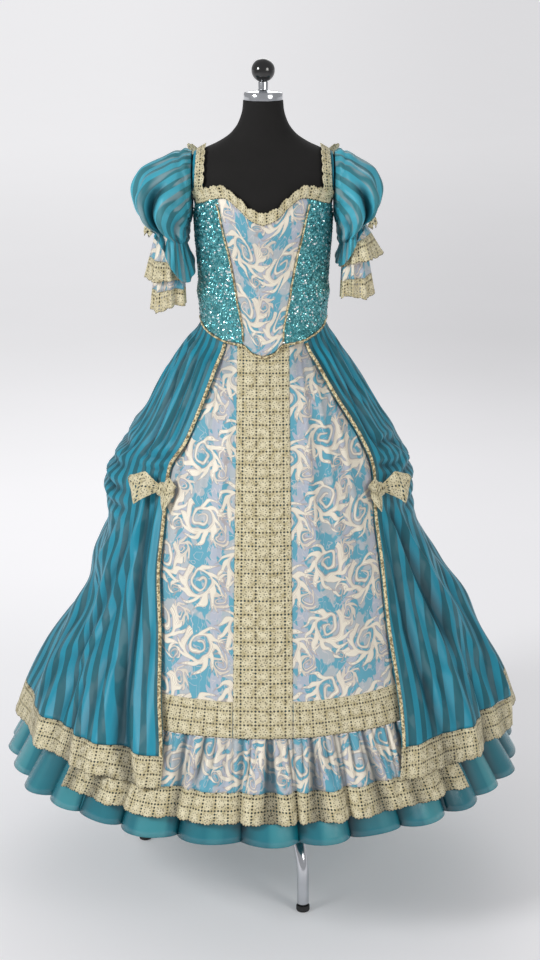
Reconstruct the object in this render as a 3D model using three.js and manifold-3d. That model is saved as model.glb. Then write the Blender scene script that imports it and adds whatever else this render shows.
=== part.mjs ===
// A rococo gown on a dress form, in millimetres, +Z up, front towards -Y.
// Angles run round the pole: 0 is the centre front, +90 the viewer's right, 180 the centre back.
import * as THREE from "three";
import { mergeVertices } from "three/addons/utils/BufferGeometryUtils.js";
import Module from "manifold-3d";

const wasm = await Module();
wasm.setup();

// Driving heights and sizes.
const skirtTop = 1285;
const satinHem = 285;
const flounceTop = 481;
const flounceLaceTop = 386;
const flounceLaceHem = 329;
const crossBandTop = 548;
const overskirtLaceTop = 441;
const overskirtLaceHem = 383;
const satinFlounceTop = 470;
const frontPanelTurn = 62;
const footSpread = 283;
const firstLegTurn = 17.5;
const seam = 0.3;

// How far each layer lies outside the skirt's core surface at the waist, and how thick its cloth is.
const layer = {
  satin: { lift: 0, cloth: 1 },
  brocade: { lift: 1.9, cloth: 1.2 },
  bandLace: { lift: 3.4, cloth: 1 },
  organza: { lift: 3.7, cloth: 1.1 },
  bodice: { lift: 5.7, cloth: 2 },
};

// Half width, front depth and back depth of the dress form at each height.
const formSections = [
  { z: 985, side: 158, front: 108, back: 112 },
  { z: 1060, side: 163, front: 114, back: 118 },
  { z: 1130, side: 150, front: 110, back: 112 },
  { z: 1200, side: 126, front: 97, back: 93 },
  { z: 1260, side: 122, front: 96, back: 88 },
  { z: 1310, side: 130, front: 101, back: 90 },
  { z: 1370, side: 134, front: 108, back: 93 },
  { z: 1420, side: 138, front: 121, back: 96 },
  { z: 1458, side: 140, front: 127, back: 98 },
  { z: 1500, side: 145, front: 117, back: 98 },
  { z: 1530, side: 157, front: 99, back: 94 },
  { z: 1556, side: 166, front: 84, back: 86 },
  { z: 1576, side: 158, front: 71, back: 76 },
  { z: 1590, side: 141, front: 61, back: 68 },
  { z: 1602, side: 118, front: 54, back: 61 },
  { z: 1614, side: 92, front: 49, back: 55 },
  { z: 1632, side: 66, front: 45, back: 50 },
  { z: 1655, side: 50, front: 42, back: 46 },
  { z: 1680, side: 42.5, front: 40, back: 42 },
  { z: 1697, side: 41, front: 39.5, back: 41 },
];

// The core surface that every skirt layer hangs on, below the waist.
const skirtSections = [
  { z: satinHem, side: 566, front: 527, back: 566 },
  { z: 400, side: 500, front: 480, back: 500 },
  { z: 530, side: 425, front: 424, back: 434 },
  { z: 670, side: 352, front: 368, back: 372 },
  { z: 810, side: 306, front: 317, back: 322 },
  { z: 945, side: 268, front: 262, back: 272 },
  { z: 1078, side: 212, front: 197, back: 210 },
  { z: 1170, side: 160, front: 143, back: 150 },
  { z: 1225, side: 130, front: 108, back: 104 },
];

// The overskirt's outline at the sides and back, and how far it stands off the core at its front edges.
const overskirtSections = [
  { z: overskirtLaceHem, left: 540, right: 551, back: 556, frontGap: 24 },
  { z: overskirtLaceTop, left: 518, right: 534, back: 532, frontGap: 24 },
  { z: 500, left: 481, right: 502, back: 502, frontGap: 22 },
  { z: 560, left: 444, right: 473, back: 474, frontGap: 17 },
  { z: 620, left: 402, right: 441, back: 446, frontGap: 13 },
  { z: 671, left: 376, right: 408, back: 424, frontGap: 12 },
  { z: 741, left: 364, right: 364, back: 392, frontGap: 12 },
  { z: 809, left: 338, right: 331, back: 366, frontGap: 12 },
  { z: 878, left: 339, right: 318, back: 350, frontGap: 13 },
  { z: 935, left: 324, right: 315, back: 328, frontGap: 15 },
  { z: 990, left: 296, right: 290, back: 298, frontGap: 16 },
  { z: 1045, left: 255, right: 251, back: 262, frontGap: 14 },
  { z: 1111, left: 217, right: 211, back: 222, frontGap: 12 },
  { z: 1176, left: 177, right: 167, back: 172, frontGap: 9 },
  { z: 1225, left: 140, right: 136, back: 118, frontGap: 5 },
];

// Where the overskirt's two front edges lie, in degrees from the centre front.
const frontEdges = [
  { z: overskirtLaceHem, left: -22.5, right: 31 },
  { z: 440, left: -23.5, right: 34 },
  { z: 565, left: -29, right: 39.5 },
  { z: 665, left: -34, right: 43.5 },
  { z: 790, left: -40, right: 47.5 },
  { z: 880, left: -42, right: 50 },
  { z: 968, left: -44, right: 55 },
  { z: 1024, left: -38, right: 52 },
  { z: 1060, left: -36, right: 49 },
  { z: 1110, left: -34, right: 44 },
  { z: 1160, left: -33, right: 40.5 },
  { z: 1220, left: -32, right: 36.5 },
  { z: skirtTop, left: -34, right: 36 },
];
const bow = { z: 915, left: -51, right: 56 };

// The bodice's top and bottom edges by angle from the centre front.
const bodiceTop = [
  { turn: 0, z: 1464 },
  { turn: 10, z: 1474 },
  { turn: 20, z: 1498 },
  { turn: 31, z: 1515 },
  { turn: 42, z: 1511 },
  { turn: 54, z: 1503 },
  { turn: 66, z: 1498 },
  { turn: 80, z: 1472 },
  { turn: 92, z: 1456 },
  { turn: 106, z: 1482 },
  { turn: 124, z: 1512 },
  { turn: 180, z: 1524 },
];
const bodiceBottom = [
  { turn: 0, z: 1192 },
  { turn: 8, z: 1198 },
  { turn: 17, z: 1214 },
  { turn: 31, z: 1218 },
  { turn: 50, z: 1229 },
  { turn: 70, z: 1242 },
  { turn: 92, z: 1255 },
  { turn: 180, z: 1244 },
];

// Materials, one for each kind of cloth or metal.
const finishes = {
  satin: { color: 0x177a7c, roughness: 0.3, metalness: 0 },
  organza: { color: 0x1b7f92, roughness: 0.45, metalness: 0 },
  brocade: { color: 0xa8c4cc, roughness: 0.5, metalness: 0 },
  sequins: { color: 0x2a9096, roughness: 0.25, metalness: 0.3 },
  lace: { color: 0xc2b07c, roughness: 0.8, metalness: 0 },
  braid: { color: 0xb49c62, roughness: 0.5, metalness: 0.3 },
  jersey: { color: 0x121212, roughness: 0.85, metalness: 0 },
  chrome: { color: 0xc8c8c8, roughness: 0.12, metalness: 1 },
  knob: { color: 0x101010, roughness: 0.15, metalness: 0 },
  rubber: { color: 0x1a1a1a, roughness: 0.7, metalness: 0 },
};
const materials = Object.fromEntries(
  Object.entries(finishes).map(([name, look]) => [name, new THREE.MeshStandardMaterial(look)]),
);

const gown = new THREE.Group();

function addPiece(name, geometry, finish) {
  const mesh = new THREE.Mesh(geometry, materials[finish]);
  mesh.name = name;
  gown.add(mesh);
  return mesh;
}

const radians = THREE.MathUtils.degToRad;
const { lerp } = THREE.MathUtils;
const ease = (value, start, end) => {
  const share = THREE.MathUtils.clamp((value - start) / (end - start), 0, 1);
  return share * share * (3 - 2 * share);
};

// A column of a table at a key between its rows, on a smooth curve through them that never overshoots.
function readTable(table, key, column, at) {
  const last = table.length - 1;
  if (at <= table[0][key]) return table[0][column];
  if (at >= table[last][key]) return table[last][column];
  const row = table.findIndex((entry) => entry[key] >= at) - 1;
  const slope = (i) => (table[i + 1][column] - table[i][column]) / (table[i + 1][key] - table[i][key]);
  const tangent = (i) => {
    if (i === 0) return slope(0);
    if (i === last) return slope(last - 1);
    const [before, after] = [slope(i - 1), slope(i)];
    return before * after <= 0 ? 0 : (2 * before * after) / (before + after);
  };
  const width = table[row + 1][key] - table[row][key];
  const t = (at - table[row][key]) / width;
  const [h00, h10] = [2 * t ** 3 - 3 * t ** 2 + 1, t ** 3 - 2 * t ** 2 + t];
  const [h01, h11] = [3 * t ** 2 - 2 * t ** 3, t ** 3 - t ** 2];
  return (
    h00 * table[row][column] +
    h10 * width * tangent(row) +
    h01 * table[row + 1][column] +
    h11 * width * tangent(row + 1)
  );
}

// A point of an oval section, with its own depth in front and behind, moved out by lift.
function ovalPoint(section, turn, z, lift) {
  const depth = Math.cos(radians(turn)) > 0 ? section.front : section.back;
  return new THREE.Vector3(
    (section.side + lift) * Math.sin(radians(turn)),
    -(depth + lift) * Math.cos(radians(turn)),
    z,
  );
}

function formSection(z) {
  const read = (column) => readTable(formSections, "z", column, z);
  return { side: read("side"), front: read("front"), back: read("back") };
}

// The core below the waist; at the waist it lies just off the form.
const coreEase = 0.9;
const coreSections = [
  ...skirtSections,
  ...[1252, skirtTop].map((z) => {
    const at = formSection(z);
    return { z, side: at.side + coreEase, front: at.front + coreEase, back: at.back + coreEase };
  }),
];

// Heights that every skirt layer has a row at, so that each lies evenly on the one below.
const skirtLevels = [680, 800, 930, 1060, 1140, 1200, 1245, skirtTop];

function coreSection(z) {
  if (z > skirtTop) {
    const at = formSection(z);
    return { side: at.side + coreEase, front: at.front + coreEase, back: at.back + coreEase };
  }
  const read = (column) => {
    const above = skirtLevels.findIndex((level) => level >= z);
    if (skirtLevels[above] <= 1140) return readTable(coreSections, "z", column, z);
    const [low, high] = [skirtLevels[above - 1], skirtLevels[above]];
    const [start, end] = [low, high].map((level) => readTable(coreSections, "z", column, level));
    return lerp(start, end, (z - low) / (high - low));
  };
  return { side: read("side"), front: read("front"), back: read("back") };
}

const corePoint = (turn, z, lift) => ovalPoint(coreSection(z), turn, z, lift);

// The bodice clears the skirts' tops below the waist and lies on the form above it.
function bodicePoint(turn, z, lift = 0) {
  const overSkirts = 1 - ease(z, skirtTop + 10, skirtTop + 50);
  const overBust = 3.4 * ease(z, 1390, 1440) * Math.max(0, Math.cos(radians(turn)));
  return corePoint(turn, z, lift + 0.9 + overBust + layer.bodice.lift * overSkirts);
}

// Below the waist the outer layers hang more loosely.
const loosen = (z) => 1.5 * (1 - ease(z, 1000, 1230));

const steps = (first, last, count) => Array.from({ length: count + 1 }, (_, i) => lerp(first, last, i / count));

// A grid of points, rows from the bottom up and columns towards rising angles.
const gridOf = (rows, columns, pointAt) => rows.map((v) => columns.map((u) => pointAt(u, v)));

// Normals at a grid's points, from the neighbours along the rows and the columns.
function gridNormals(grid, closed) {
  const [rowCount, columnCount] = [grid.length, grid[0].length];
  return grid.map((row, j) =>
    row.map((_, i) => {
      const wrap = (n) => (closed ? (n + columnCount) % columnCount : THREE.MathUtils.clamp(n, 0, columnCount - 1));
      const along = new THREE.Vector3().subVectors(row[wrap(i + 1)], row[wrap(i - 1)]);
      const [up, down] = [grid[Math.min(j + 1, rowCount - 1)][i], grid[Math.max(j - 1, 0)][i]];
      return along.cross(new THREE.Vector3().subVectors(up, down)).normalize();
    }),
  );
}

const moveOut = (grid, normals, distance) =>
  grid.map((row, j) => row.map((point, i) => point.clone().addScaledVector(normals[j][i], distance)));

// A closed cloth wall of even thickness on a grid. A closed grid joins its last column to its first.
function clothWall(grid, thickness, { closed = false, lift = 0 } = {}) {
  const normals = gridNormals(grid, closed);
  const inner = moveOut(grid, normals, lift);
  const outer = moveOut(grid, normals, lift + thickness);
  const [rowCount, columnCount] = [grid.length, grid[0].length];
  const points = [...inner.flat(), ...outer.flat()];
  const indices = [];
  const at = (side, j, i) => side * rowCount * columnCount + j * columnCount + (i % columnCount);
  const quad = (a, b, c, d) => indices.push(a, b, c, a, c, d);
  const spans = closed ? columnCount : columnCount - 1;
  for (let j = 0; j < rowCount - 1; j++) {
    for (let i = 0; i < spans; i++) {
      quad(at(1, j, i), at(1, j, i + 1), at(1, j + 1, i + 1), at(1, j + 1, i));
      quad(at(0, j, i), at(0, j + 1, i), at(0, j + 1, i + 1), at(0, j, i + 1));
    }
    if (!closed) {
      const end = columnCount - 1;
      quad(at(0, j, 0), at(1, j, 0), at(1, j + 1, 0), at(0, j + 1, 0));
      quad(at(0, j, end), at(0, j + 1, end), at(1, j + 1, end), at(1, j, end));
    }
  }
  const top = rowCount - 1;
  for (let i = 0; i < spans; i++) {
    quad(at(0, 0, i), at(0, 0, i + 1), at(1, 0, i + 1), at(1, 0, i));
    quad(at(0, top, i), at(1, top, i), at(1, top, i + 1), at(0, top, i + 1));
  }
  const geometry = new THREE.BufferGeometry();
  geometry.setAttribute("position", new THREE.Float32BufferAttribute(points.flatMap((p) => p.toArray()), 3));
  geometry.setIndex(indices);
  return geometry;
}

// A closed geometry as a solid, and a solid back as a geometry, for joining pieces.
function solidOf(geometry) {
  const bare = geometry.clone();
  bare.deleteAttribute("normal");
  bare.deleteAttribute("uv");
  const merged = mergeVertices(bare, 1e-3);
  const mesh = { numProp: 3, vertProperties: merged.attributes.position.array, triVerts: new Uint32Array(merged.index.array) };
  return new wasm.Manifold(new wasm.Mesh(mesh));
}

function joined(geometries) {
  const { vertProperties, triVerts } = geometries.map(solidOf).reduce((all, next) => all.add(next)).getMesh();
  const geometry = new THREE.BufferGeometry();
  geometry.setAttribute("position", new THREE.BufferAttribute(vertProperties, 3));
  geometry.setIndex(new THREE.BufferAttribute(triVerts, 1));
  return geometry;
}

// The gathered hems' shared ruffle: waves all round, uneven in width and depth, with columns on their crests.
const ruffleWaves = 30;
const columnsPerWave = 4;
const ruffleTurn = (wave) => {
  const around = (wave / ruffleWaves) * 2 * Math.PI;
  return (wave / ruffleWaves) * 360 + 1.5 * Math.sin(3 * around + 0.6) + 0.9 * Math.sin(7 * around + 2);
};
const ruffleDepth = (wave) => {
  const number = Math.round(wave * 2) / 2;
  const uneven = 0.75 + 0.25 * Math.sin(number * 2.3) + 0.15 * Math.sin(number * 5.1 + 1);
  return Math.cos(2 * Math.PI * wave) * uneven;
};
const wavesBetween = (first, last) => steps(first, last, Math.round((last - first) * columnsPerWave));

// Satin underskirt: three smooth gores, and a gathered flounce in four lengths under the other hems.
function satinUnderskirt() {
  const goreRows = [satinFlounceTop + 2 * seam, flounceTop + 2 * seam, crossBandTop, ...skirtLevels];
  const gores = { front: [-60, 60], right: [60, 180], left: [180, 300] };
  for (const [side, [start, end]] of Object.entries(gores)) {
    const inset = 0.05;
    const rows = side === "front" ? goreRows : [goreRows[0], 670, 800, ...skirtLevels.slice(3)];
    const columns = steps(start + inset, end - inset, 10);
    const grid = gridOf(rows, columns, (turn, z) => corePoint(turn, z, layer.satin.lift));
    addPiece(`satin_gore_${side}`, clothWall(grid, layer.satin.cloth), "satin");
  }
  const flounceRows = [satinHem, 375, satinFlounceTop];
  const rufflePoint = (wave, z) => {
    const fullness = 1 - ease(z, satinHem, satinFlounceTop);
    return corePoint(ruffleTurn(wave), z, fullness * (14 * ruffleDepth(wave) - 12));
  };
  const quarter = ruffleWaves / 4;
  ["front", "right", "back", "left"].forEach((side, n) => {
    const [start, end] = [(n - 0.5) * quarter, (n + 0.5) * quarter];
    const waves = wavesBetween(start, end);
    waves[0] += 0.004;
    waves[waves.length - 1] -= 0.004;
    addPiece(`satin_flounce_${side}`, clothWall(gridOf(flounceRows, waves, rufflePoint), layer.satin.cloth), "satin");
  });
}

// Brocade front panel with its lace bands, and the gathered flounce with its lace.
function brocadeFront() {
  const panelRows = [flounceTop + 2 * seam, crossBandTop, ...skirtLevels];
  const bandHalfWidth = (z) => lerp(59, 52, ease(z, 500, 1250));
  const bandTurn = (z) => THREE.MathUtils.radToDeg(Math.asin(bandHalfWidth(z) / coreSection(z).side));
  const foldDepth = (z) => 2.6 * ease(z, 1195, 1080) * (1 - 0.7 * ease(z, 900, 520));
  const panelTurn = (column, z) => {
    const inBand = bandTurn(z);
    const beyond = (Math.abs(column) - 2) / 7;
    return Math.abs(column) <= 2
      ? (column / 2) * inBand
      : Math.sign(column) * lerp(inBand, frontPanelTurn, beyond);
  };
  const panelPoint = (column, z) => {
    const outside = Math.max(0, Math.abs(column) - 2);
    const fold = outside > 0 ? foldDepth(z) * (1 - Math.cos(Math.PI * outside)) * 0.5 : 0;
    return corePoint(panelTurn(column, z), z, layer.brocade.lift + loosen(z) + fold);
  };
  const columns = steps(-9, 9, 18);
  addPiece("brocade_front", clothWall(gridOf(panelRows, columns, panelPoint), layer.brocade.cloth), "brocade");
  const onPanel = { lift: layer.brocade.cloth + seam };
  const bandGrid = gridOf(panelRows, columns, panelPoint).map((row) => row.slice(7, 12));
  addPiece("lace_band_centre", clothWall(bandGrid, layer.bandLace.cloth, onPanel), "lace");
  const crossGrid = gridOf(panelRows, columns, panelPoint).slice(0, 2);
  const crossLace = clothWall(crossGrid.map((row) => row.slice(0, 8)), layer.bandLace.cloth, onPanel);
  const otherLace = clothWall(crossGrid.map((row) => row.slice(11)), layer.bandLace.cloth, onPanel);
  // The cross band runs in two lengths, up to the centre band on each side.
  addPiece("lace_band_cross_left", withoutOverlap(crossLace, "lace_band_centre"), "lace");
  addPiece("lace_band_cross_right", withoutOverlap(otherLace, "lace_band_centre"), "lace");

  const flouncePoint = (wave, z) => {
    const fullness = 1 - ease(z, flounceLaceHem, flounceTop - 5);
    const clear = layer.brocade.lift + loosen(z) + 6 * fullness;
    return corePoint(ruffleTurn(wave), z, clear + 10 * fullness * ruffleDepth(wave));
  };
  const waves = wavesBetween(-4.5, 4.5);
  const flounceRows = [flounceLaceTop, 450, flounceTop];
  addPiece("brocade_flounce", clothWall(gridOf(flounceRows, waves, flouncePoint), layer.brocade.cloth), "brocade");
  const laceGrid = gridOf([flounceLaceHem, flounceLaceTop - seam], waves, flouncePoint);
  addPiece("flounce_lace", clothWall(laceGrid, layer.brocade.cloth), "lace");
}

// A geometry less another named piece, grown by nothing: used where two lengths of trim meet.
function withoutOverlap(geometry, name) {
  const other = gown.getObjectByName(name);
  const { vertProperties, triVerts } = solidOf(geometry).subtract(solidOf(other.geometry)).getMesh();
  const cut = new THREE.BufferGeometry();
  cut.setAttribute("position", new THREE.BufferAttribute(vertProperties, 3));
  cut.setIndex(new THREE.BufferAttribute(triVerts, 1));
  return cut;
}

// Striped organza overskirt, open at the front, drawn up at each side under a bow.
const edgeTurn = (side, z) => readTable(frontEdges, "z", side, z);
const overskirtFolds = 18;
function overskirtPoint(turn, z, lift = 0) {
  const rightSide = turn > 0 && turn < 180;
  const fromFront = rightSide ? turn : 360 - turn;
  const side = rightSide ? "right" : "left";
  const edge = Math.abs(edgeTurn(side, z));
  const read = (column) => readTable(overskirtSections, "z", column, z);
  // Behind, the two sides' outlines run into each other.
  const outer = lerp(read(side), read(rightSide ? "left" : "right"), 0.5 * ease(fromFront, 100, 180));
  const share = ease(fromFront, edge, edge + 45);
  const core = coreSection(z);
  const bodiceEdge = edgeHeight(bodiceBottom, turn);
  const waist = ease(z, bodiceEdge - 8, bodiceEdge - 54);
  const gap = lerp(layer.organza.lift, read("frontGap"), waist);
  const section = {
    side: lerp(core.side + layer.organza.lift, lerp(core.side + gap, outer, share), waist),
    front: lerp(core.front + layer.organza.lift, lerp(core.front + gap, outer, share), waist),
    back: lerp(core.back + layer.organza.lift, read("back"), waist),
  };
  const [bowTurn, down] = [Math.abs(bow[side]), bow.z - z];
  const near = Math.exp(-(((fromFront - bowTurn) / 22) ** 2) - (down / 95) ** 2);
  const fan = Math.cos(((fromFront - bowTurn) / lerp(9, 24, ease(down, 0, 560))) * 2 * Math.PI * 0.9);
  const fanDepth = 9 * ease(down, 20, 200) * (1 - ease(fromFront, bowTurn + 20, bowTurn + 60));
  const hemFold = Math.cos(radians(turn * overskirtFolds)) * 11 * ease(z, 1000, 480) * ease(fromFront, edge + 15, edge + 60);
  const swag = 7 * Math.cos((z - 905) / 30 + fromFront / 14) * ease(Math.abs(z - 915), 130, 40) * share;
  const pinch = -0.45 * near * gap;
  return ovalPoint(section, turn, z, lift + (hemFold + swag + fan * fanDepth * share + pinch) * waist);
}

function organzaOverskirt() {
  const rows = [overskirtLaceTop + 2 * seam, 550, 665, 790, 880, 965, 1060, 1140, 1200, 1222, 1245, skirtTop];
  const laceRows = [overskirtLaceHem, overskirtLaceTop];
  const backStart = 110;
  const inset = 0.06;
  const panels = {
    right: (share, z) => lerp(edgeTurn("right", z), backStart - inset, share),
    back: (share) => lerp(backStart + inset, 360 - backStart - inset, share),
    left: (share, z) => lerp(360 - backStart + inset, 360 + edgeTurn("left", z), share),
  };
  const columnCounts = { right: 14, back: 20, left: 14 };
  for (const [side, turnAt] of Object.entries(panels)) {
    const columns = steps(0, 1, columnCounts[side]);
    const place = (share, z) => overskirtPoint(turnAt(share, z), z);
    addPiece(`overskirt_${side}`, clothWall(gridOf(rows, columns, place), layer.organza.cloth), "organza");
    addPiece(`overskirt_lace_${side}`, clothWall(gridOf(laceRows, columns, place), 1.4), "lace");
  }
  const braidRows = [...rows.slice(0, -3), 1211];
  const braidWidth = 7;
  const widthTurn = (z) => THREE.MathUtils.radToDeg(braidWidth / coreSection(z).side);
  const edgeBraid = (side, sign) => {
    const base = side === "left" ? 360 : 0;
    const place = (share, z) => {
      const edge = base + edgeTurn(side, z);
      return overskirtPoint(edge + sign * widthTurn(z) * share, z, layer.organza.cloth + 1.6);
    };
    const columns = sign > 0 ? [0.02, 1] : [1, 0.02];
    addPiece(`front_braid_${side}`, clothWall(gridOf(braidRows, columns, place), 1.6), "braid");
  };
  edgeBraid("right", 1);
  edgeBraid("left", -1);
}

// A bow of wide lace: one strip pinched in the middle, and a knot round it.
function laceBow(name, centre, out, { reach, spread, droop }) {
  const along = new THREE.Vector3(0, 0, 1).cross(out).normalize();
  const up = new THREE.Vector3().crossVectors(out, along);
  const place = (u, v) => {
    const far = Math.abs(u);
    const height = v * lerp(spread * 0.16, spread * 0.5, ease(far, 0.08, 1));
    return centre
      .clone()
      .addScaledVector(along, u * reach * (1 - 0.12 * v))
      .addScaledVector(up, height - droop * far ** 1.5)
      .addScaledVector(out, 1.2 + 9 * Math.sin(Math.PI * Math.min(far, 0.9)) + 2.5 * Math.cos(2 * Math.PI * v) * far);
  };
  const ribbon = clothWall(gridOf([-1, -0.4, 0.4, 1], steps(-1, 1, 8), place), 1.4);
  const knot = new THREE.SphereGeometry(1, 8, 6).scale(reach * 0.13, spread * 0.2, reach * 0.09);
  knot.applyMatrix4(new THREE.Matrix4().makeBasis(along, up, out));
  knot.translate(centre.x, centre.y, centre.z);
  knot.translate(out.x * 2, out.y * 2, out.z * 2);
  addPiece(name, joined([ribbon, knot]), "lace");
}

function skirtBows() {
  for (const side of ["left", "right"]) {
    const turn = bow[side] + (side === "left" ? 360 : 0);
    const [below, above] = [overskirtPoint(turn, bow.z - 30), overskirtPoint(turn, bow.z + 30)];
    const [before, after] = [overskirtPoint(turn - 3, bow.z), overskirtPoint(turn + 3, bow.z)];
    const out = after.sub(before).cross(above.sub(below)).normalize();
    const centre = overskirtPoint(turn, bow.z).addScaledVector(out, layer.organza.cloth + 4.2);
    laceBow(`bow_${side}`, centre, out, { reach: 62, spread: 58, droop: 16 });
  }
}

// Bodice panels between their seams, from the bottom edge to the top edge.
const edgeHeight = (table, turn) => {
  const from = Math.abs(((turn + 180) % 360) - 180);
  return readTable(table, "turn", "z", Math.min(from, 180));
};
const stomacherTurn = (share) => lerp(16.5, 38, share);
function bodicePanels() {
  const panel = (name, finish, startAt, endAt, columnCount) => {
    const place = (u, v) => {
      const turn = lerp(startAt(v), endAt(v), u);
      const z = lerp(edgeHeight(bodiceBottom, turn), edgeHeight(bodiceTop, turn), v);
      return bodicePoint(turn, z);
    };
    addPiece(name, clothWall(gridOf(bodiceRows, steps(0, 1, columnCount), place), layer.bodice.cloth), finish);
  };
  const gap = 0.14;
  const sideSeam = 92;
  panel("stomacher", "brocade", (v) => -stomacherTurn(v), stomacherTurn, 8);
  panel("bodice_front_right", "sequins", (v) => stomacherTurn(v) + gap, () => sideSeam - gap, 7);
  panel("bodice_front_left", "sequins", () => gap - sideSeam, (v) => -stomacherTurn(v) - gap, 7);
  panel("bodice_back_right", "sequins", () => sideSeam + gap, () => 180 - gap, 8);
  panel("bodice_back_left", "sequins", () => 180 + gap, () => 360 - sideSeam - gap, 8);
}
const bodiceRows = [0, 0.13, 0.27, 0.42, 0.57, 0.72, 0.86, 1];

function bodiceTrim() {
  const width = 3.2;
  for (const [side, sign] of [["left", -1], ["right", 1]]) {
    const place = (u, v) => {
      const turn = sign * stomacherTurn(v) + u * width;
      const seamTurn = sign * stomacherTurn(v);
      const z = lerp(edgeHeight(bodiceBottom, seamTurn), edgeHeight(bodiceTop, seamTurn), lerp(0.02, 0.95, v));
      return bodicePoint(turn, z, layer.bodice.cloth + 1.4);
    };
    addPiece(`stomacher_braid_${side}`, clothWall(gridOf(bodiceRows, [-0.5, 0.5], place), 1.8), "braid");
  }
  // The twisted cord lies under the lower edge, all along the front.
  const cordRadius = 2.2;
  const path = steps(-88, 88, 22).map((turn) => {
    const z = edgeHeight(bodiceBottom, turn) - cordRadius - 2 * seam;
    return bodicePoint(turn, z, cordRadius + 0.6);
  });
  addPiece("bodice_cord", tubeAlong(path, cordRadius, 6, new THREE.Vector3(0, 0, 1)), "braid");
}

// Over the shoulder in a plane of constant x: around runs from 0 at the front to 1 at the back.
function shoulderPoint(x, around, lift, startHeight, endHeight = startHeight) {
  const crest = formSections.filter((row) => row.z > 1556);
  let [low, high] = [crest[0].z, crest[crest.length - 1].z];
  for (let n = 0; n < 24; n++) {
    const middle = (low + high) / 2;
    if (formSection(middle).side > Math.abs(x)) low = middle;
    else high = middle;
  }
  const z = lerp(around < 0.5 ? startHeight : endHeight, low, Math.sin(Math.PI * around));
  const at = formSection(z);
  const depth = around < 0.5 ? -at.front : at.back;
  const y = depth * Math.sqrt(Math.max(0, 1 - (x / at.side) ** 2));
  const level = Math.sin(Math.PI * around) ** 2;
  const out = new THREE.Vector3(x / at.side ** 2, y / depth ** 2, 0).normalize().multiplyScalar(1 - level).setZ(level);
  return new THREE.Vector3(x, y, z).addScaledVector(out.normalize(), lift);
}

const strapInner = 121;
const strapOuter = 142;
function strapsAndNeckLace() {
  const [strapStart, strapEnd] = [1514, 1519];
  const strapRows = steps(0, 1, 12);
  const strapLift = 3;
  for (const [side, sign] of [["left", -1], ["right", 1]]) {
    const columns = sign > 0 ? [strapInner, 132, strapOuter] : [-strapOuter, -132, -strapInner];
    const place = (x, around) => shoulderPoint(x, around, strapLift, strapStart, strapEnd);
    addPiece(`strap_${side}`, clothWall(gridOf(strapRows, columns, place), 1.2), "organza");
  }
  // Front lace: a scalloped strip along the sweetheart edge, joined to one up each strap.
  const laceWidth = 25;
  const scallop = 3;
  const laceLift = layer.bodice.cloth + 1.5;
  const frontColumns = steps(-64, 64, 34);
  const frontPoint = (turn, v) => {
    const wave = v === 2 ? scallop * Math.cos((turn / 128) * 17 * 2 * Math.PI) : 0;
    const ruck = v * 1.2;
    return bodicePoint(turn, edgeHeight(bodiceTop, turn) - 5 + (v / 2) * laceWidth + wave, laceLift + ruck);
  };
  const strips = [clothWall(gridOf([0, 1, 2], frontColumns, frontPoint), 1.3)];
  for (const sign of [-1, 1]) {
    const place = (u, around) => {
      const wave = u === 1 ? 2.5 * Math.cos(around * 2 * Math.PI * 11) : 0;
      return shoulderPoint(sign * (lerp(strapOuter - 6, strapInner - 2, u) - wave), around, lerp(8, strapLift + 2.6, ease(around, 0, 0.16)), 1505);
    };
    const columns = sign > 0 ? [1, 0.5, 0] : [0, 0.5, 1];
    strips.push(clothWall(gridOf(steps(0, 0.56, 12), columns, place), 1.3));
  }
  addPiece("neck_lace_front", joined(strips), "lace");
  // Back lace: stands off the back neckline and fans out into a wing over each sleeve head.
  const backPoint = (turn, v) => {
    const fromSide = ease(Math.abs(turn - 180), 66, 36);
    const z = lerp(1593, 1530, fromSide);
    const wave = v === 2 ? 2.5 * Math.cos(((turn - 112) / 136) * 12 * 2 * Math.PI) : 0;
    const stand = v * lerp(0.35, 1, ease(Math.abs(turn - 180), 70, 56));
    const base = corePoint(turn, z, lerp(7.9, 3.4, fromSide));
    const out = new THREE.Vector3(base.x, base.y * 0.9, 0).normalize();
    return base.addScaledVector(out, stand * lerp(14, 3, fromSide)).add(new THREE.Vector3(0, 0, stand * lerp(10, 12, fromSide) + wave));
  };
  addPiece("neck_lace_back", clothWall(gridOf([0, 1, 2], steps(112, 248, 22), backPoint), 1.3), "lace");
}

// Sleeve sections in the XZ plane: outer and inner points of each ring, and its half depth.
const sleeveSections = [
  { u: 0, outX: 147.8, outZ: 1594, inX: 147, inZ: 1462, depth: 45, forward: 0 },
  { u: 0.12, outX: 163, outZ: 1597, inX: 151, inZ: 1450, depth: 70, forward: 2 },
  { u: 0.3, outX: 205, outZ: 1580, inX: 154, inZ: 1440, depth: 88, forward: 5 },
  { u: 0.48, outX: 249, outZ: 1554, inX: 155, inZ: 1432, depth: 95, forward: 8 },
  { u: 0.65, outX: 266, outZ: 1510, inX: 156, inZ: 1424, depth: 92, forward: 10 },
  { u: 0.82, outX: 252, outZ: 1466, inX: 158, inZ: 1416, depth: 80, forward: 12 },
  { u: 1, outX: 222, outZ: 1436, inX: 162, inZ: 1408, depth: 54, forward: 14 },
];
const sleeveColumns = 24;

// The right sleeve is pushed in a little flatter than the left, and caught up higher.
const sleeveSet = {
  left: { sign: -1, reach: 1, raised: 0, bowLift: 8.8, drape: 72, flare: 1, upper: 1, lower: 1 },
  right: { sign: 1, reach: 0.77, raised: 17, bowLift: 11, drape: 40, flare: 1.7, upper: 0.68, lower: 0.9 },
};

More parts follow.
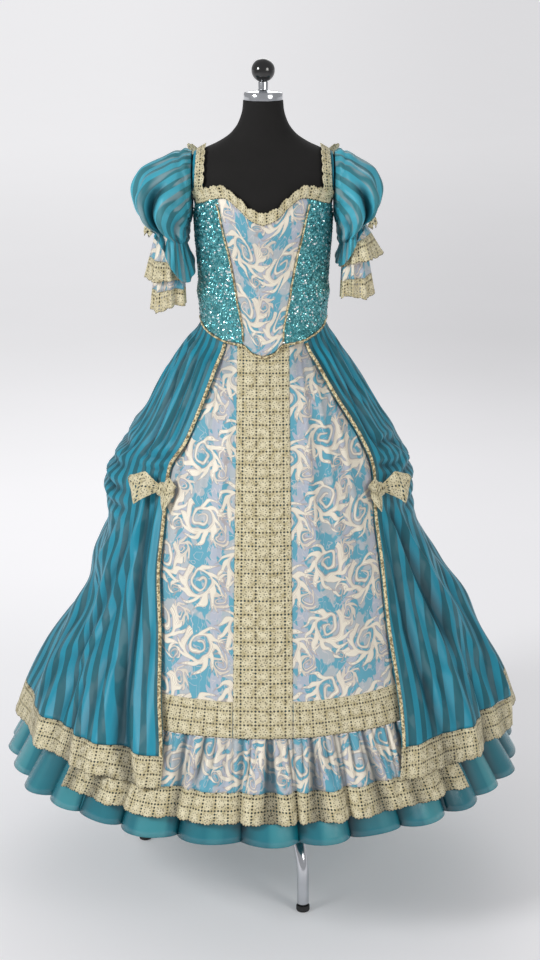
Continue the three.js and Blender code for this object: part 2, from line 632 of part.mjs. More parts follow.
// A point on a sleeve ring: around 0 is the outer side, 90 the front, 180 the inner side.
function sleeveRingPoint(set, at, around) {
  const outX = lerp(at.inX, at.outX, set.reach);
  const outZ = at.outZ + set.raised * ease(at.u, 0.6, 1);
  const [x, z] = [(outX + at.inX) / 2, (outZ + at.inZ) / 2];
  const [halfX, halfZ] = [(outX - at.inX) / 2, (outZ - at.inZ) / 2];
  const [cosine, sine] = [Math.cos(radians(around)), Math.sin(radians(around))];
  return new THREE.Vector3(set.sign * (x + halfX * cosine), -at.forward - at.depth * sine, z + halfZ * cosine);
}

function sleeveSection(u) {
  const read = (column) => readTable(sleeveSections, "u", column, u);
  return Object.fromEntries(["u", "outX", "outZ", "inX", "inZ", "depth", "forward"].map((name) => [name, read(name)]));
}

const nearTurn = (around, centre, width) => {
  const off = Math.abs(((around - centre + 540) % 360) - 180);
  return 1 - ease(off, 0, width);
};

// The oversleeve hangs lowest at its inner front, below the ring where it is caught up.
function oversleevePoint(set, u, around) {
  const at = sleeveSection(Math.min(u, 1));
  const point = sleeveRingPoint(set, at, around);
  const pleat = 2.6 * Math.cos(radians(around * 8)) * ease(u, 0, 0.15) * (1 - 0.4 * ease(u, 0.6, 1));
  const centre = sleeveRingPoint(set, at, around + 180).add(point).multiplyScalar(0.5);
  const out = point.clone().sub(centre).normalize();
  point.addScaledVector(out, pleat);
  if (u > 1) {
    const fall = (u - 1) / 0.3;
    const low = nearTurn(around, 128, 95);
    point.addScaledVector(out, fall * lerp(12, set.drape / 3 + 6, low));
    point.z -= fall * lerp(7, set.drape, low);
  }
  return point;
}

// A frill below the sleeve, its waves growing towards the hem. It starts just inside the caught up ring.
function frillPoint(set, wave, waveCount, share, shape) {
  const around = (wave / waveCount) * 360;
  const columnTurn = 360 / sleeveColumns;
  const whole = Math.floor(around / columnTurn + 1e-6) * columnTurn;
  const top = oversleevePoint(set, 1, whole).lerp(oversleevePoint(set, 1, whole + columnTurn), (around - whole) / columnTurn);
  const at = sleeveSection(1);
  const centre = sleeveRingPoint(set, at, 0).add(sleeveRingPoint(set, at, 180)).multiplyScalar(0.5);
  const out = top.clone().sub(centre).normalize();
  const side = new THREE.Vector3(out.x, out.y, 0).normalize();
  const depth = (0.8 + 0.3 * Math.sin(Math.round(wave) * 2.7)) * Math.cos(2 * Math.PI * wave);
  const outer = nearTurn(around, 20, 110);
  const flare = lerp(shape.flareIn, shape.flareOut * set.flare, outer) + shape.flareFront * nearTurn(around, 128, 60);
  top.addScaledVector(out, -shape.inset);
  top.addScaledVector(side, share * flare + share * shape.waveDepth * depth);
  const drop = share * shape.fall * lerp(0.78, 1, outer);
  top.y -= 0.07 * drop;
  top.z += 3 - drop;
  return top;
}

function sleeves() {
  const frillWaves = 8;
  const frillColumns = steps(0, frillWaves, frillWaves * columnsPerWave).slice(0, -1);
  const ringTurns = steps(0, 360, sleeveColumns).slice(0, -1);
  const tiers = {
    upper: { inset: 3.2, fall: 54, lace: 50, flareIn: 2, flareOut: 24, flareFront: 5, waveDepth: 4 },
    lower: { inset: 6.8, fall: 120, lace: 50, flareIn: 0, flareOut: 14, flareFront: 15, waveDepth: 5 },
  };
  for (const [side, set] of Object.entries(sleeveSet)) {
    const { sign } = set;
    // Columns run towards rising angles round the outside, which differs between the two arms.
    const order = (columns) => (sign < 0 ? columns : [...columns].reverse());
    const rows = [1.3, 1, 0.8, 0.6, 0.38, 0.16, 0];
    const grid = gridOf(rows, order(ringTurns), (around, u) => oversleevePoint(set, u, around));
    addPiece(`oversleeve_${side}`, clothWall(grid, 1.2, { closed: true }), "organza");
    for (const [tier, shape] of Object.entries(tiers)) {
      const whole = (shape.fall + shape.lace) * set[tier];
      const laceShare = 1 - (shape.lace * 0.9) / whole;
      const full = { ...shape, fall: whole };
      const place = (wave, share) => frillPoint(set, wave, frillWaves, share, full);
      const cloth = gridOf([laceShare, 0], order(frillColumns), place);
      addPiece(`frill_${tier}_${side}`, clothWall(cloth, 1, { closed: true }), "brocade");
      const lace = gridOf([1, laceShare + 0.004], order(frillColumns), place);
      addPiece(`frill_lace_${tier}_${side}`, clothWall(lace, 1.1, { closed: true }), "lace");
    }
    const caught = oversleevePoint(set, 0.98, 20);
    const out = new THREE.Vector3(sign * 0.85, -0.35, 0.1).normalize();
    laceBow(`sleeve_bow_${side}`, caught.addScaledVector(out, set.bowLift), out, { reach: 20, spread: 22, droop: 5 });
  }
}

// Dress form: one closed body of oval sections.
function dressForm() {
  const turns = steps(0, 360, 30).slice(0, -1);
  const rings = formSections.map(({ z }) => turns.map((turn) => ovalPoint(formSection(z), turn, z, 0)));
  const points = rings.flat();
  const [first, last] = [formSections[0], formSections[formSections.length - 1]];
  points.push(new THREE.Vector3(0, 0, first.z), new THREE.Vector3(0, 0, last.z));
  const indices = [];
  const at = (ring, i) => ring * turns.length + (i % turns.length);
  for (let i = 0; i < turns.length; i++) {
    for (let ring = 0; ring < rings.length - 1; ring++) {
      indices.push(at(ring, i), at(ring, i + 1), at(ring + 1, i + 1));
      indices.push(at(ring, i), at(ring + 1, i + 1), at(ring + 1, i));
    }
    indices.push(at(0, i + 1), at(0, i), points.length - 2);
    indices.push(at(rings.length - 1, i), at(rings.length - 1, i + 1), points.length - 1);
  }
  const geometry = new THREE.BufferGeometry();
  geometry.setAttribute("position", new THREE.Float32BufferAttribute(points.flatMap((p) => p.toArray()), 3));
  geometry.setIndex(indices);
  addPiece("form_torso", geometry, "jersey");
}

// A turned piece: its profile as radius and height, standing on the axis.
function turned(profile, segments) {
  const geometry = new THREE.LatheGeometry(profile.map(([r, z]) => new THREE.Vector2(r, z)), segments);
  return geometry.rotateX(Math.PI / 2);
}

const neckTop = formSections[formSections.length - 1].z;
function capAndKnob() {
  const [capRadius, capBase] = [40, neckTop + seam];
  const stemTop = 1734;
  const cap = [
    [0, capBase],
    [capRadius, capBase],
    [capRadius, capBase + 13],
    [capRadius - 3, capBase + 17],
    [11, capBase + 19],
    [10, capBase + 19.5],
    [10, stemTop],
    [0, stemTop],
  ];
  addPiece("neck_cap", turned(cap, 16), "chrome");
  const knobRadius = 24;
  const base = Math.acos(0.93);
  const arc = steps(-Math.PI / 2 + base, Math.PI / 2, 8);
  const centre = stemTop + seam + knobRadius * Math.cos(base);
  const knob = [[0, centre - knobRadius * Math.cos(base)], ...arc.map((a) => [Math.max(0, knobRadius * Math.cos(a)), centre + knobRadius * Math.sin(a)])];
  addPiece("ball_knob", turned(knob, 16), "knob");
}

const poleRadius = 16;
const hubHeight = 272;
function stand() {
  const hubRadius = 30;
  const pole = [
    [0, hubHeight - 32],
    [hubRadius - 4, hubHeight - 32],
    [hubRadius, hubHeight - 28],
    [hubRadius, hubHeight + 28],
    [hubRadius - 4, hubHeight + 32],
    [poleRadius, hubHeight + 32],
    [poleRadius, formSections[0].z - seam],
    [0, formSections[0].z - seam],
  ];
  addPiece("pole", turned(pole, 14), "chrome");
  const [legRadius, bendRadius, bendStart, bendAngle] = [12.5, 100, 72, 60];
  const glideHeight = 14;
  for (const [n, turn] of [firstLegTurn, firstLegTurn + 120, firstLegTurn - 120].entries()) {
    const place = (distance, z) => new THREE.Vector3(distance * Math.sin(radians(turn)), -distance * Math.cos(radians(turn)), z);
    const bend = steps(0, bendAngle, 6).map((angle) =>
      place(footSpread - bendRadius * (1 - Math.cos(radians(angle))), bendStart + bendRadius * Math.sin(radians(angle))),
    );
    const inward = hubRadius + 6.2;
    const bendEnd = footSpread - bendRadius * (1 - Math.cos(radians(bendAngle)));
    const rise = (bendEnd - inward) / Math.tan(radians(bendAngle));
    const hubEnd = place(inward, bendStart + bendRadius * Math.sin(radians(bendAngle)) + rise);
    const points = [place(footSpread, glideHeight), place(footSpread, 45), ...bend, hubEnd];
    const across = place(0, 1).cross(place(1, 0)).normalize();
    addPiece(`leg_${n + 1}`, tubeAlong(points, legRadius, 8, across), "chrome");
    const glide = turned([[0, 0], [13, 0], [14.5, 2], [14.5, glideHeight - seam], [0, glideHeight - seam]], 12);
    const foot = place(footSpread, 0);
    glide.translate(foot.x, foot.y, 0);
    addPiece(`foot_${n + 1}`, glide, "rubber");
  }
}

// A closed round tube through points, with one direction kept across it all along.
function tubeAlong(points, radius, sides, across) {
  const rings = points.map((point, n) => {
    const before = points[Math.max(0, n - 1)];
    const after = points[Math.min(points.length - 1, n + 1)];
    const along = new THREE.Vector3().subVectors(after, before).normalize();
    const side = new THREE.Vector3().crossVectors(along, across).normalize();
    const rise = new THREE.Vector3().crossVectors(side, along);
    return steps(0, 2 * Math.PI, sides)
      .slice(0, -1)
      .map((a) => point.clone().addScaledVector(rise, radius * Math.cos(a)).addScaledVector(side, radius * Math.sin(a)));
  });
  const all = [...rings.flat(), points[0].clone(), points[points.length - 1].clone()];
  const indices = [];
  const at = (ring, i) => ring * sides + (i % sides);
  for (let i = 0; i < sides; i++) {
    for (let ring = 0; ring < rings.length - 1; ring++) {
      indices.push(at(ring, i), at(ring, i + 1), at(ring + 1, i + 1), at(ring, i), at(ring + 1, i + 1), at(ring + 1, i));
    }
    indices.push(at(0, i + 1), at(0, i), all.length - 2);
    indices.push(at(rings.length - 1, i), at(rings.length - 1, i + 1), all.length - 1);
  }
  const geometry = new THREE.BufferGeometry();
  geometry.setAttribute("position", new THREE.Float32BufferAttribute(all.flatMap((p) => p.toArray()), 3));
  geometry.setIndex(indices);
  return geometry;
}

satinUnderskirt();
brocadeFront();
organzaOverskirt();
skirtBows();
bodicePanels();
bodiceTrim();
strapsAndNeckLace();
sleeves();
dressForm();
capAndKnob();
stand();

// The origin is on the floor under the middle of the whole outline.
const outline = new THREE.Box3().setFromObject(gown);
const middle = outline.getCenter(new THREE.Vector3());
gown.position.set(-middle.x, -middle.y, -outline.min.z);

export default gown;
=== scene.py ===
# %% [markdown]
# # A rococo gown on a dress form
# The frame is the packed model. Every cloth solid in it is a coarse wall, so each one is replaced
# here by the same surface worked out on a finer grid, with creases, gathers, stripes and lace.
# All sizes in the tables are millimetres measured round the pole, and become metres in the mesh.

# %% Load the frame and find the pole's axis
import math

import bpy
import numpy as np
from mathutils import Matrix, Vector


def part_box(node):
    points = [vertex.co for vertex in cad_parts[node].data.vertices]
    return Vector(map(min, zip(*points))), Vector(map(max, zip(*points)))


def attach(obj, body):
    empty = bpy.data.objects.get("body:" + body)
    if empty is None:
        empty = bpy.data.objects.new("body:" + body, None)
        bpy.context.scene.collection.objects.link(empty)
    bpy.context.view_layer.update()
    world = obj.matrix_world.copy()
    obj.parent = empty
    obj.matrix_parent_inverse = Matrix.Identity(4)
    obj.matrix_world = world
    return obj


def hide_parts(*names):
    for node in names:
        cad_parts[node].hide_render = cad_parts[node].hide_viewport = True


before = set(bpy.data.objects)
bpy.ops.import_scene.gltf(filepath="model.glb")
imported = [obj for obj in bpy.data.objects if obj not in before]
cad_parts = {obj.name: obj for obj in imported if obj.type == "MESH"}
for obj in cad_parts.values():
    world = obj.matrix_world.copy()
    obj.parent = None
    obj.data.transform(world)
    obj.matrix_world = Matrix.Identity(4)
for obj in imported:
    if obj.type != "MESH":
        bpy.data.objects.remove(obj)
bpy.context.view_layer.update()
pole_low, pole_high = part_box("pole")
AXIS = np.array([(pole_low.x + pole_high.x) / 2, (pole_low.y + pole_high.y) / 2, 0.0])
MM = 0.001
TURN = 2 * math.pi
print("nodes", len(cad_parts), "pole axis", AXIS.round(5))

# %% [markdown]
# ## Camera, floor and light
# The gown was photographed in a studio from just above head height, looking down a little. The
# camera stands 3.8 m in front of the pole. The floor runs far back, so it fills the whole picture
# like a paper roll, and two wide lamps and a pale sky give light with soft shadows.


# %% Camera
CAMERA_DISTANCE = 3.8


def stand_camera(aside, height, tilt, lens):
    """Puts the camera in front of the pole, tilted down by that many degrees."""
    camera_data = bpy.data.cameras.new("studio_camera")
    camera_data.lens = lens
    camera_data.sensor_width = 36
    camera_data.clip_end = 200
    camera = bpy.data.objects.new("studio_camera", camera_data)
    camera.location = (AXIS[0] + aside, AXIS[1] - CAMERA_DISTANCE, height)
    camera.rotation_euler = (math.radians(90 - tilt), 0, 0)
    bpy.context.scene.collection.objects.link(camera)
    bpy.context.scene.camera = camera
    return camera


camera = stand_camera(aside=0.014, height=2.0, tilt=16.3, lens=68.55)
bpy.context.scene.view_settings.view_transform = "Standard"
print("camera", tuple(camera.location))


# %% Lamps and sky
def hang_lamp(name, place, aim, size, watts, tint=(1, 1, 1)):
    """A square soft lamp at a place, facing a point."""
    lamp_data = bpy.data.lights.new(name, "AREA")
    lamp_data.size = size
    lamp_data.energy = watts
    lamp_data.color = tint
    lamp = bpy.data.objects.new(name, lamp_data)
    direction = np.array(aim) - np.array(place)
    across = math.hypot(direction[0], direction[1])
    lamp.rotation_euler = (math.atan2(across, -direction[2]), 0, math.atan2(-direction[0], direction[1]))
    lamp.location = place
    bpy.context.scene.collection.objects.link(lamp)


MIDDLE = (0, 0, 0.9)  # half way up the stand
hang_lamp("lamp_left", (-3.4, -2.6, 3.1), MIDDLE, size=1.1, watts=128)
hang_lamp("lamp_right", (3.0, -3.2, 2.6), MIDDLE, size=1.6, watts=60, tint=(1, 0.98, 0.95))
hang_lamp("lamp_back", (0.4, 3.4, 3.4), MIDDLE, size=2.6, watts=36)

sky = bpy.data.worlds.new("studio_sky")
sky.use_nodes = True
sky_inputs = sky.node_tree.nodes["Background"].inputs
sky_inputs["Color"].default_value = (0.95, 0.95, 0.97, 1)
sky_inputs["Strength"].default_value = 0.46
bpy.context.scene.world = sky

# %% [markdown]
# ## Shader maths
# A finish is written as sums and products of fields. A field is a number that changes over the
# cloth, such as the distance across the cut. Each operator adds one Math node, so `1 - mask` or
# `(across / pitch).sin()` can be read like ordinary Python. Numbers alone stay in Python.


# %% Fields
class Field:
    """A number that changes over a surface: it wraps a socket, and operators on it add Math nodes."""

    def __init__(self, finish, socket):
        self.finish = finish
        self.socket = socket

    def work(self, operation, *values):
        """One Math node on these values, in their order."""
        node = self.finish.add("ShaderNodeMath", {"operation": operation}, dict(enumerate(values)))
        return Field(self.finish, node.outputs[0])

    def __add__(self, other):
        return self.work("ADD", self, other)

    __radd__ = __add__

    def __sub__(self, other):
        return self.work("SUBTRACT", self, other)

    def __rsub__(self, other):
        return self.work("SUBTRACT", other, self)

    def __mul__(self, other):
        return self.work("MULTIPLY", self, other)

    __rmul__ = __mul__

    def __truediv__(self, other):
        return self.work("DIVIDE", self, other)

    def __rtruediv__(self, other):
        return self.work("DIVIDE", other, self)

    def __abs__(self):
        return self.work("ABSOLUTE", self)

    def sin(self):
        return self.work("SINE", self)

    def cos(self):
        return self.work("COSINE", self)

    def root(self):
        return self.work("SQRT", self)

    def fraction(self):
        return self.work("FRACT", self)

    def wrapped(self, size):
        """The distance to the nearest multiple of size, with its sign."""
        return self.work("WRAP", self, size / 2, -size / 2)

    def highest(self, other):
        return self.work("MAXIMUM", self, other)

    def lowest(self, other):
        return self.work("MINIMUM", self, other)

    def rise(self, start, end):
        """0 below start, 1 above end, and a smooth step between them."""
        node = self.finish.add(
            "ShaderNodeMapRange",
            {"interpolation_type": "SMOOTHSTEP"},
            {"Value": self, "From Min": start, "From Max": end, "To Min": 0.0, "To Max": 1.0},
        )
        return Field(self.finish, node.outputs[0])


print("a field can do", [name for name in vars(Field) if not name.startswith("_")])


# %% Colours and finishes
def paint(code):
    """A six digit colour code as the linear values that a shader wants."""
    parts = [int(code[n : n + 2], 16) / 255 for n in (0, 2, 4)]
    linear = [c / 12.92 if c <= 0.04045 else ((c + 0.055) / 1.055) ** 2.4 for c in parts]
    return (*linear, 1.0)


class Finish:
    """One material: its nodes, its main shader and what feeds it, and a slot name, which is not used."""

    def __init__(self, name, slot=None, **shader_values):
        self.slot = slot
        self.material = bpy.data.materials.new(name)
        self.material.use_nodes = True
        self.tree = self.material.node_tree
        self.tree.nodes.clear()
        self.output = self.add("ShaderNodeOutputMaterial")
        named = {key.replace("_", " "): value for key, value in shader_values.items()}
        self.shader = self.add("ShaderNodeBsdfPrincipled", {}, named)
        self.tree.links.new(self.shader.outputs[0], self.output.inputs["Surface"])

    def add(self, kind, settings=None, sockets=None):
        """Adds a node: its settings first, then the values or links of its sockets."""
        node = self.tree.nodes.new(kind)
        for key, value in (settings or {}).items():
            setattr(node, key, value)
        for key, value in (sockets or {}).items():
            self.plug(node.inputs[key], value)
        return node

    def plug(self, socket, value):
        """Links a field or a socket, or sets a plain value."""
        if isinstance(value, Field):
            value = value.socket
        if isinstance(value, bpy.types.NodeSocket):
            self.tree.links.new(value, socket)
        else:
            socket.default_value = value

    def feed(self, **inputs):
        """Feeds the main shader's sockets."""
        for key, value in inputs.items():
            self.plug(self.shader.inputs[key.replace("_", " ")], value)

    def cloth(self):
        """The distance across and along the flat cut, in metres, from the piece's own map."""
        node = self.add("ShaderNodeUVMap", {"uv_map": "cut"})
        parts = self.add("ShaderNodeSeparateXYZ", {}, {0: node.outputs[0]})
        return Field(self, parts.outputs[0]), Field(self, parts.outputs[1])

    def hollow(self):
        """How deep in a crease a point lies, from 0 to 1, kept with the piece's points. The finishes
        paint shade with it, and the satin a highlight on the crests too.
        """
        node = self.add("ShaderNodeAttribute", {"attribute_name": "hollow"})
        return Field(self, node.outputs["Fac"])

    def spot(self):
        """The place in the room, in metres, as one vector."""
        return self.add("ShaderNodeTexCoord").outputs["Object"]

    def place(self):
        """The place in the room, in metres, as three fields."""
        parts = self.add("ShaderNodeSeparateXYZ", {}, {0: self.spot()})
        return tuple(Field(self, parts.outputs[n]) for n in range(3))

    def joined(self, x, y, z=0.0):
        """Three numbers as one vector."""
        return self.add("ShaderNodeCombineXYZ", {}, {0: x, 1: y, 2: z}).outputs[0]

    def cloud(self, vector, scale, detail=2.0):
        """Soft noise from 0 to 1."""
        node = self.add("ShaderNodeTexNoise", {}, {"Vector": vector, "Scale": scale, "Detail": detail})
        return Field(self, node.outputs[0])

    def blend(self, share, first, second):
        """A colour between two colours."""
        node = self.add("ShaderNodeMix", {"data_type": "RGBA"}, {0: share, 6: first, 7: second})
        return node.outputs[2]

    def relief(self, height, depth):
        """A bump from a height field from 0 to 1, that many metres deep."""
        node = self.add("ShaderNodeBump", {}, {"Height": height, "Distance": depth, "Strength": 1.0})
        return node.outputs[0]


print("shader maths ready")

# %% [markdown]
# ## Floor
# A pale paper roll: nearly matt, with a slight mottle so that it isn't one flat colour. Lamps near
# the gown leave the far end of such a long roll too dark, so the paper glows a little: more towards
# the back, and less on the right, where the real paper lies in shade.

# %% Floor
paper = Finish("paper_roll", Roughness=0.75, Emission_Strength=1.0)
floor_x, floor_y, _ = paper.place()
mottle = paper.cloud(paper.joined(floor_x, floor_y), 1.3)
distance = floor_y + CAMERA_DISTANCE
rightwards = (floor_x / distance.highest(0.5)).rise(-0.1, 0.14)
shade = rightwards * floor_y.rise(-1.0, 3.0)
glow = 0.11 + floor_y.rise(-1.5, 3.0) * 0.26 + floor_y.rise(2.0, 16.0) * 0.137 - shade * 0.13
paper.feed(
    Base_Color=paper.blend(mottle, paint("dcdcde"), paint("e2e1e4")),
    Emission_Color=paper.blend(glow, (0, 0, 0, 1), (1, 0.995, 1, 1)),
)


def lay_floor(radius, spokes=96):
    """A flat disc: one ring of points round a middle point."""
    angles = np.arange(spokes) * TURN / spokes
    ring = np.stack([radius * np.cos(angles), radius * np.sin(angles), np.zeros(spokes)], axis=1)
    mesh = bpy.data.meshes.new("studio_floor")
    faces = [(0, n + 1, (n + 1) % spokes + 1) for n in range(spokes)]
    mesh.from_pydata(np.vstack([[0, 0, 0], ring]), [], faces)
    floor = bpy.data.objects.new("studio_floor", mesh)
    mesh.materials.append(paper.material)
    bpy.context.scene.collection.objects.link(floor)


lay_floor(150.0)
print("floor laid")

# %% [markdown]
# ## Tables and grids
# A dressmaker reads widths off a block at a few heights and draws a smooth line through them. The
# tables hold those widths, and `read` draws the line. A cloth is then a grid of points: rows from
# the hem up, columns round the body, joined by four sided faces that point outwards.


# %% Smooth steps and tables
def ease(value, start, end):
    """A smooth step from 0 at start to 1 at end: s * s * (3 - 2 * s), s the share of the way."""
    share = np.clip((value - start) / (end - start), 0, 1)
    return share * share * (3 - 2 * share)


def between(first, second, share):
    """A share of the way from the first value to the second."""
    return first + (second - first) * share


def unit(vectors):
    """The same directions with a length of 1."""
    return vectors / np.linalg.norm(vectors, axis=-1, keepdims=True)


def table(names, rows):
    """Named columns from rows of numbers."""
    return dict(zip(names.split(), np.array(rows, float).T))


def rows_of(source):
    """A table's rows, one after the other."""
    return zip(*source.values())


def read(source, column, at, key="z"):
    """A column at a key, on cubic pieces whose slopes are harmonic means, so they never overshoot."""
    keys, values = source[key], source[column]
    slopes = np.diff(values) / np.diff(keys)
    before, after = slopes[:-1], slopes[1:]
    total = np.where(before + after == 0, 1, before + after)
    inner = np.where(before * after > 0, 2 * before * after / total, 0)
    tangents = np.concatenate([slopes[:1], inner, slopes[-1:]])
    at = np.clip(np.asarray(at, float), keys[0], keys[-1])
    row = np.clip(np.searchsorted(keys, at, side="right") - 1, 0, len(keys) - 2)
    width = keys[row + 1] - keys[row]
    t = (at - keys[row]) / width
    start = (2 * t**3 - 3 * t**2 + 1) * values[row] + (t**3 - 2 * t**2 + t) * width * tangents[row]
    end = (3 * t**2 - 2 * t**3) * values[row + 1] + (t**3 - t**2) * width * tangents[row + 1]
    return start + end


# %% The dress form's and the skirts' sections
SKIRT_TOP = 1285.0
FORM = table(
    "z side front back",
    [
        (985, 158, 108, 112),
        (1060, 163, 114, 118),
        (1130, 150, 110, 112),
        (1200, 126, 97, 93),
        (1260, 122, 96, 88),
        (1310, 130, 101, 90),
        (1370, 134, 108, 93),
        (1420, 138, 121, 96),
        (1458, 140, 127, 98),
        (1500, 145, 117, 98),
        (1530, 157, 99, 94),
        (1556, 166, 84, 86),
        (1576, 158, 71, 76),
        (1590, 141, 61, 68),
        (1602, 118, 54, 61),
        (1614, 92, 49, 55),
        (1632, 66, 45, 50),
        (1655, 50, 42, 46),
        (1680, 42.5, 40, 42),
        (1697, 41, 39.5, 41),
    ],
)
SKIRT_ROWS = [
    (285, 566, 527, 566),
    (400, 500, 480, 500),
    (530, 425, 424, 434),
    (670, 352, 368, 372),
    (810, 306, 317, 322),
    (945, 268, 262, 272),
    (1078, 212, 197, 210),
    (1170, 160, 143, 150),
    (1225, 130, 108, 104),
]
CORE_EASE = 0.9
# The skirts meet the form a little below the waist seam.
WAIST_ROWS = [
    (z, *(float(read(FORM, column, z)) + CORE_EASE for column in ("side", "front", "back")))
    for z in (1252, SKIRT_TOP)
]
CORE = table("z side front back", SKIRT_ROWS + WAIST_ROWS)
STRAIGHT_LEVELS = [1140, 1200, 1245, SKIRT_TOP]


print("waist sections", np.round(WAIST_ROWS, 1).tolist())


# %% The core that the skirts hang on
def core_section(z):
    """The surface that every skirt layer hangs on: smooth below 1140 mm, straight pieces up to
    the waist, and the form with a little ease above it."""
    section = {}
    for column in ("side", "front", "back"):
        straight = np.interp(z, STRAIGHT_LEVELS, read(CORE, column, STRAIGHT_LEVELS))
        below = np.where(z > STRAIGHT_LEVELS[0], straight, read(CORE, column, z))
        section[column] = np.where(z > SKIRT_TOP, read(FORM, column, z) + CORE_EASE, below)
    return section


def oval(section, turn, z, lift):
    """A point of an oval: side * sin across, front or back * cos in depth, moved out by lift."""
    angle = np.radians(turn)
    depth = np.where(np.cos(angle) > 0, section["front"], section["back"])
    x = (section["side"] + lift) * np.sin(angle)
    y = -(depth + lift) * np.cos(angle)
    return np.stack(np.broadcast_arrays(x, y, z), axis=-1)


def core_point(turn, z, lift):
    """A point of the core, moved out by a lift in millimetres."""
    return oval(core_section(z), turn, z, lift)


print("core at the hem", {column: float(value) for column, value in core_section(285.0).items()})


# %% Grids into meshes
def grid_faces(rows, columns, closed):
    """Four corners of each cell of a grid, and where each corner lies on the flat cut."""
    spans = columns if closed else columns - 1
    row, column = np.meshgrid(np.arange(rows - 1), np.arange(spans), indexing="ij")
    corners = [(row, column), (row, column + 1), (row + 1, column + 1), (row + 1, column)]
    points = np.stack([j * columns + i % columns for j, i in corners], axis=-1).reshape(-1, 4)
    flat = np.stack([j * (spans + 1) + i for j, i in corners], axis=-1).reshape(-1, 4)
    return points, flat


def new_piece(name, points, faces, cut=None, smooth=True):
    """Puts points in millimetres round the pole, and faces, into a mesh object at the origin."""
    mesh = bpy.data.meshes.new(name)
    mesh.from_pydata(np.asarray(points).reshape(-1, 3) * MM + AXIS, [], faces)
    if cut is not None:
        mesh.uv_layers.new(name="cut").data.foreach_set("uv", np.asarray(cut, np.float32).ravel())
    mesh.polygons.foreach_set("use_smooth", np.full(len(mesh.polygons), smooth))
    mesh.update()
    piece = bpy.data.objects.new(name, mesh)
    bpy.context.scene.collection.objects.link(piece)
    return piece


def keep_values(piece, name, values):
    """Keeps one number with each of a piece's points, for its finish to read."""
    piece.data.attributes.new(name, "FLOAT", "POINT").data.foreach_set("value", values.ravel())


def dress(piece, finish, node):
    """Gives a piece its finish, hangs it from the root, and hides the CAD node that it replaces."""
    piece.data.materials.append(finish.material)
    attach(piece, "root")
    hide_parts(node)


def flat_area(cut, faces):
    """The area of the flat cut: the sum of its cells, by the crossed diagonals of each."""
    corners = cut.reshape(-1, 2)[faces]
    first, second = corners[:, 2] - corners[:, 0], corners[:, 3] - corners[:, 1]
    return float(np.abs(first[:, 0] * second[:, 1] - first[:, 1] * second[:, 0]).sum() / 2)


print("a grid of 3 by 4 points has", len(grid_faces(3, 4, closed=False)[0]), "faces")

# %% Cloth pieces and their flat cuts
CUTS = {}  # what each piece was cut to, for the printed lines


def hang(
    name, points, cut, finish, node, cloth=1.0, closed=False, hollow=None
):
    """Makes one cloth piece: a grid of points with its flat cut in metres, a wall of even
    thickness on it, and the size it was cut to."""
    rows, columns = points.shape[:2]
    faces, flat_faces = grid_faces(rows, columns, closed)
    piece = new_piece(name, points, faces, cut.reshape(-1, 2)[flat_faces])
    if hollow is not None:
        keep_values(piece, "hollow", hollow)
    wall = piece.modifiers.new("wall", "SOLIDIFY")
    wall.thickness = cloth * MM
    wall.offset = 1.0
    dress(piece, finish, node)
    across, along = np.ptp(cut.reshape(-1, 2), axis=0)
    area = flat_area(cut, flat_faces)
    CUTS[name] = (round(float(across), 3), round(float(along), 3), round(area, 4))


def lengths(points, axis):
    """The running length along the rows (axis 1) or up the columns (axis 0), in metres."""
    parts = np.linalg.norm(np.diff(points, axis=axis), axis=2) * MM
    start = np.zeros_like(np.take(parts, [0], axis=axis))
    return np.cumsum(np.concatenate([start, parts], axis=axis), axis=axis)


def strip_cut(points, fullness=1.0):
    """The flat cut of a strip: its mean width along, and its longest row across."""
    across = lengths(points, 1)
    longest = across[np.argmax(across[:, -1])]
    along = lengths(points, 0).mean(axis=1)
    return np.stack(np.meshgrid(longest * fullness, along), axis=-1)


def steps(first, last, count):
    """Even steps from the first number to the last, both ends included."""
    return np.linspace(first, last, count + 1)


def crossed(across, along):
    """A grid from two runs of numbers, each given as its first, its last and its count of steps."""
    return np.meshgrid(steps(*across), steps(*along))


print("grids ready")

# %% [markdown]
# ## Satin
# Polyester satin is a smooth teal cloth whose long floats catch soft, wide highlights. A low
# roughness gives those, a faint cloud keeps the dye from looking flat, and a very fine bump stands
# for the floats. The highlights themselves come from the folds in the mesh, helped by a painted
# highlight. Each point also keeps how deep it lies in a fold: the valleys get painted shade, and
# the crests a painted highlight that makes them a little paler.

# %% Teal satin
satin = Finish("teal_satin", "satin", Roughness=0.25, Specular_IOR_Level=0.8)
across, along = satin.cloth()
FLOAT_PITCH = 0.0011
float_lines = (across * (TURN / FLOAT_PITCH)).sin() * 0.5 + 0.5
dye = satin.cloud(satin.joined(across, along), 9.0, 3.0)
deep = satin.hollow()
dye_and_painted_shade = satin.blend(dye, paint("0a6170"), paint("127a88"))
# Painted shade: points deep in a fold are mixed towards a dark teal.
dye_and_painted_shade = satin.blend(deep.rise(0.1, 0.95) * 0.92, dye_and_painted_shade, paint("032935"))
# Painted highlight: points near a crest are mixed towards a pale teal.
satin.feed(
    Base_Color=satin.blend((1 - deep.rise(0.0, 0.12)) * 0.26, dye_and_painted_shade, paint("62bcc0")),
    Roughness=0.16 + dye * 0.08,
    Normal=satin.relief(float_lines * 0.5 + dye, 0.00012),
)
print("satin", len(satin.tree.nodes), "nodes")

# %% [markdown]
# ## Striped organza
# The overskirt is woven in stripes: a dense bright band, then a sheer darker one, 33 mm for the
# pair. The stripe is the fraction of the distance across the cut, so it follows every fold. The
# sheer band lets a little of what lies under it through, and pale streaks on it are partly painted
# highlight. The creases get painted shade.

# %% Striped organza
STRIPE_PAIR, ORGANZA_THREAD = 0.033, 0.0013


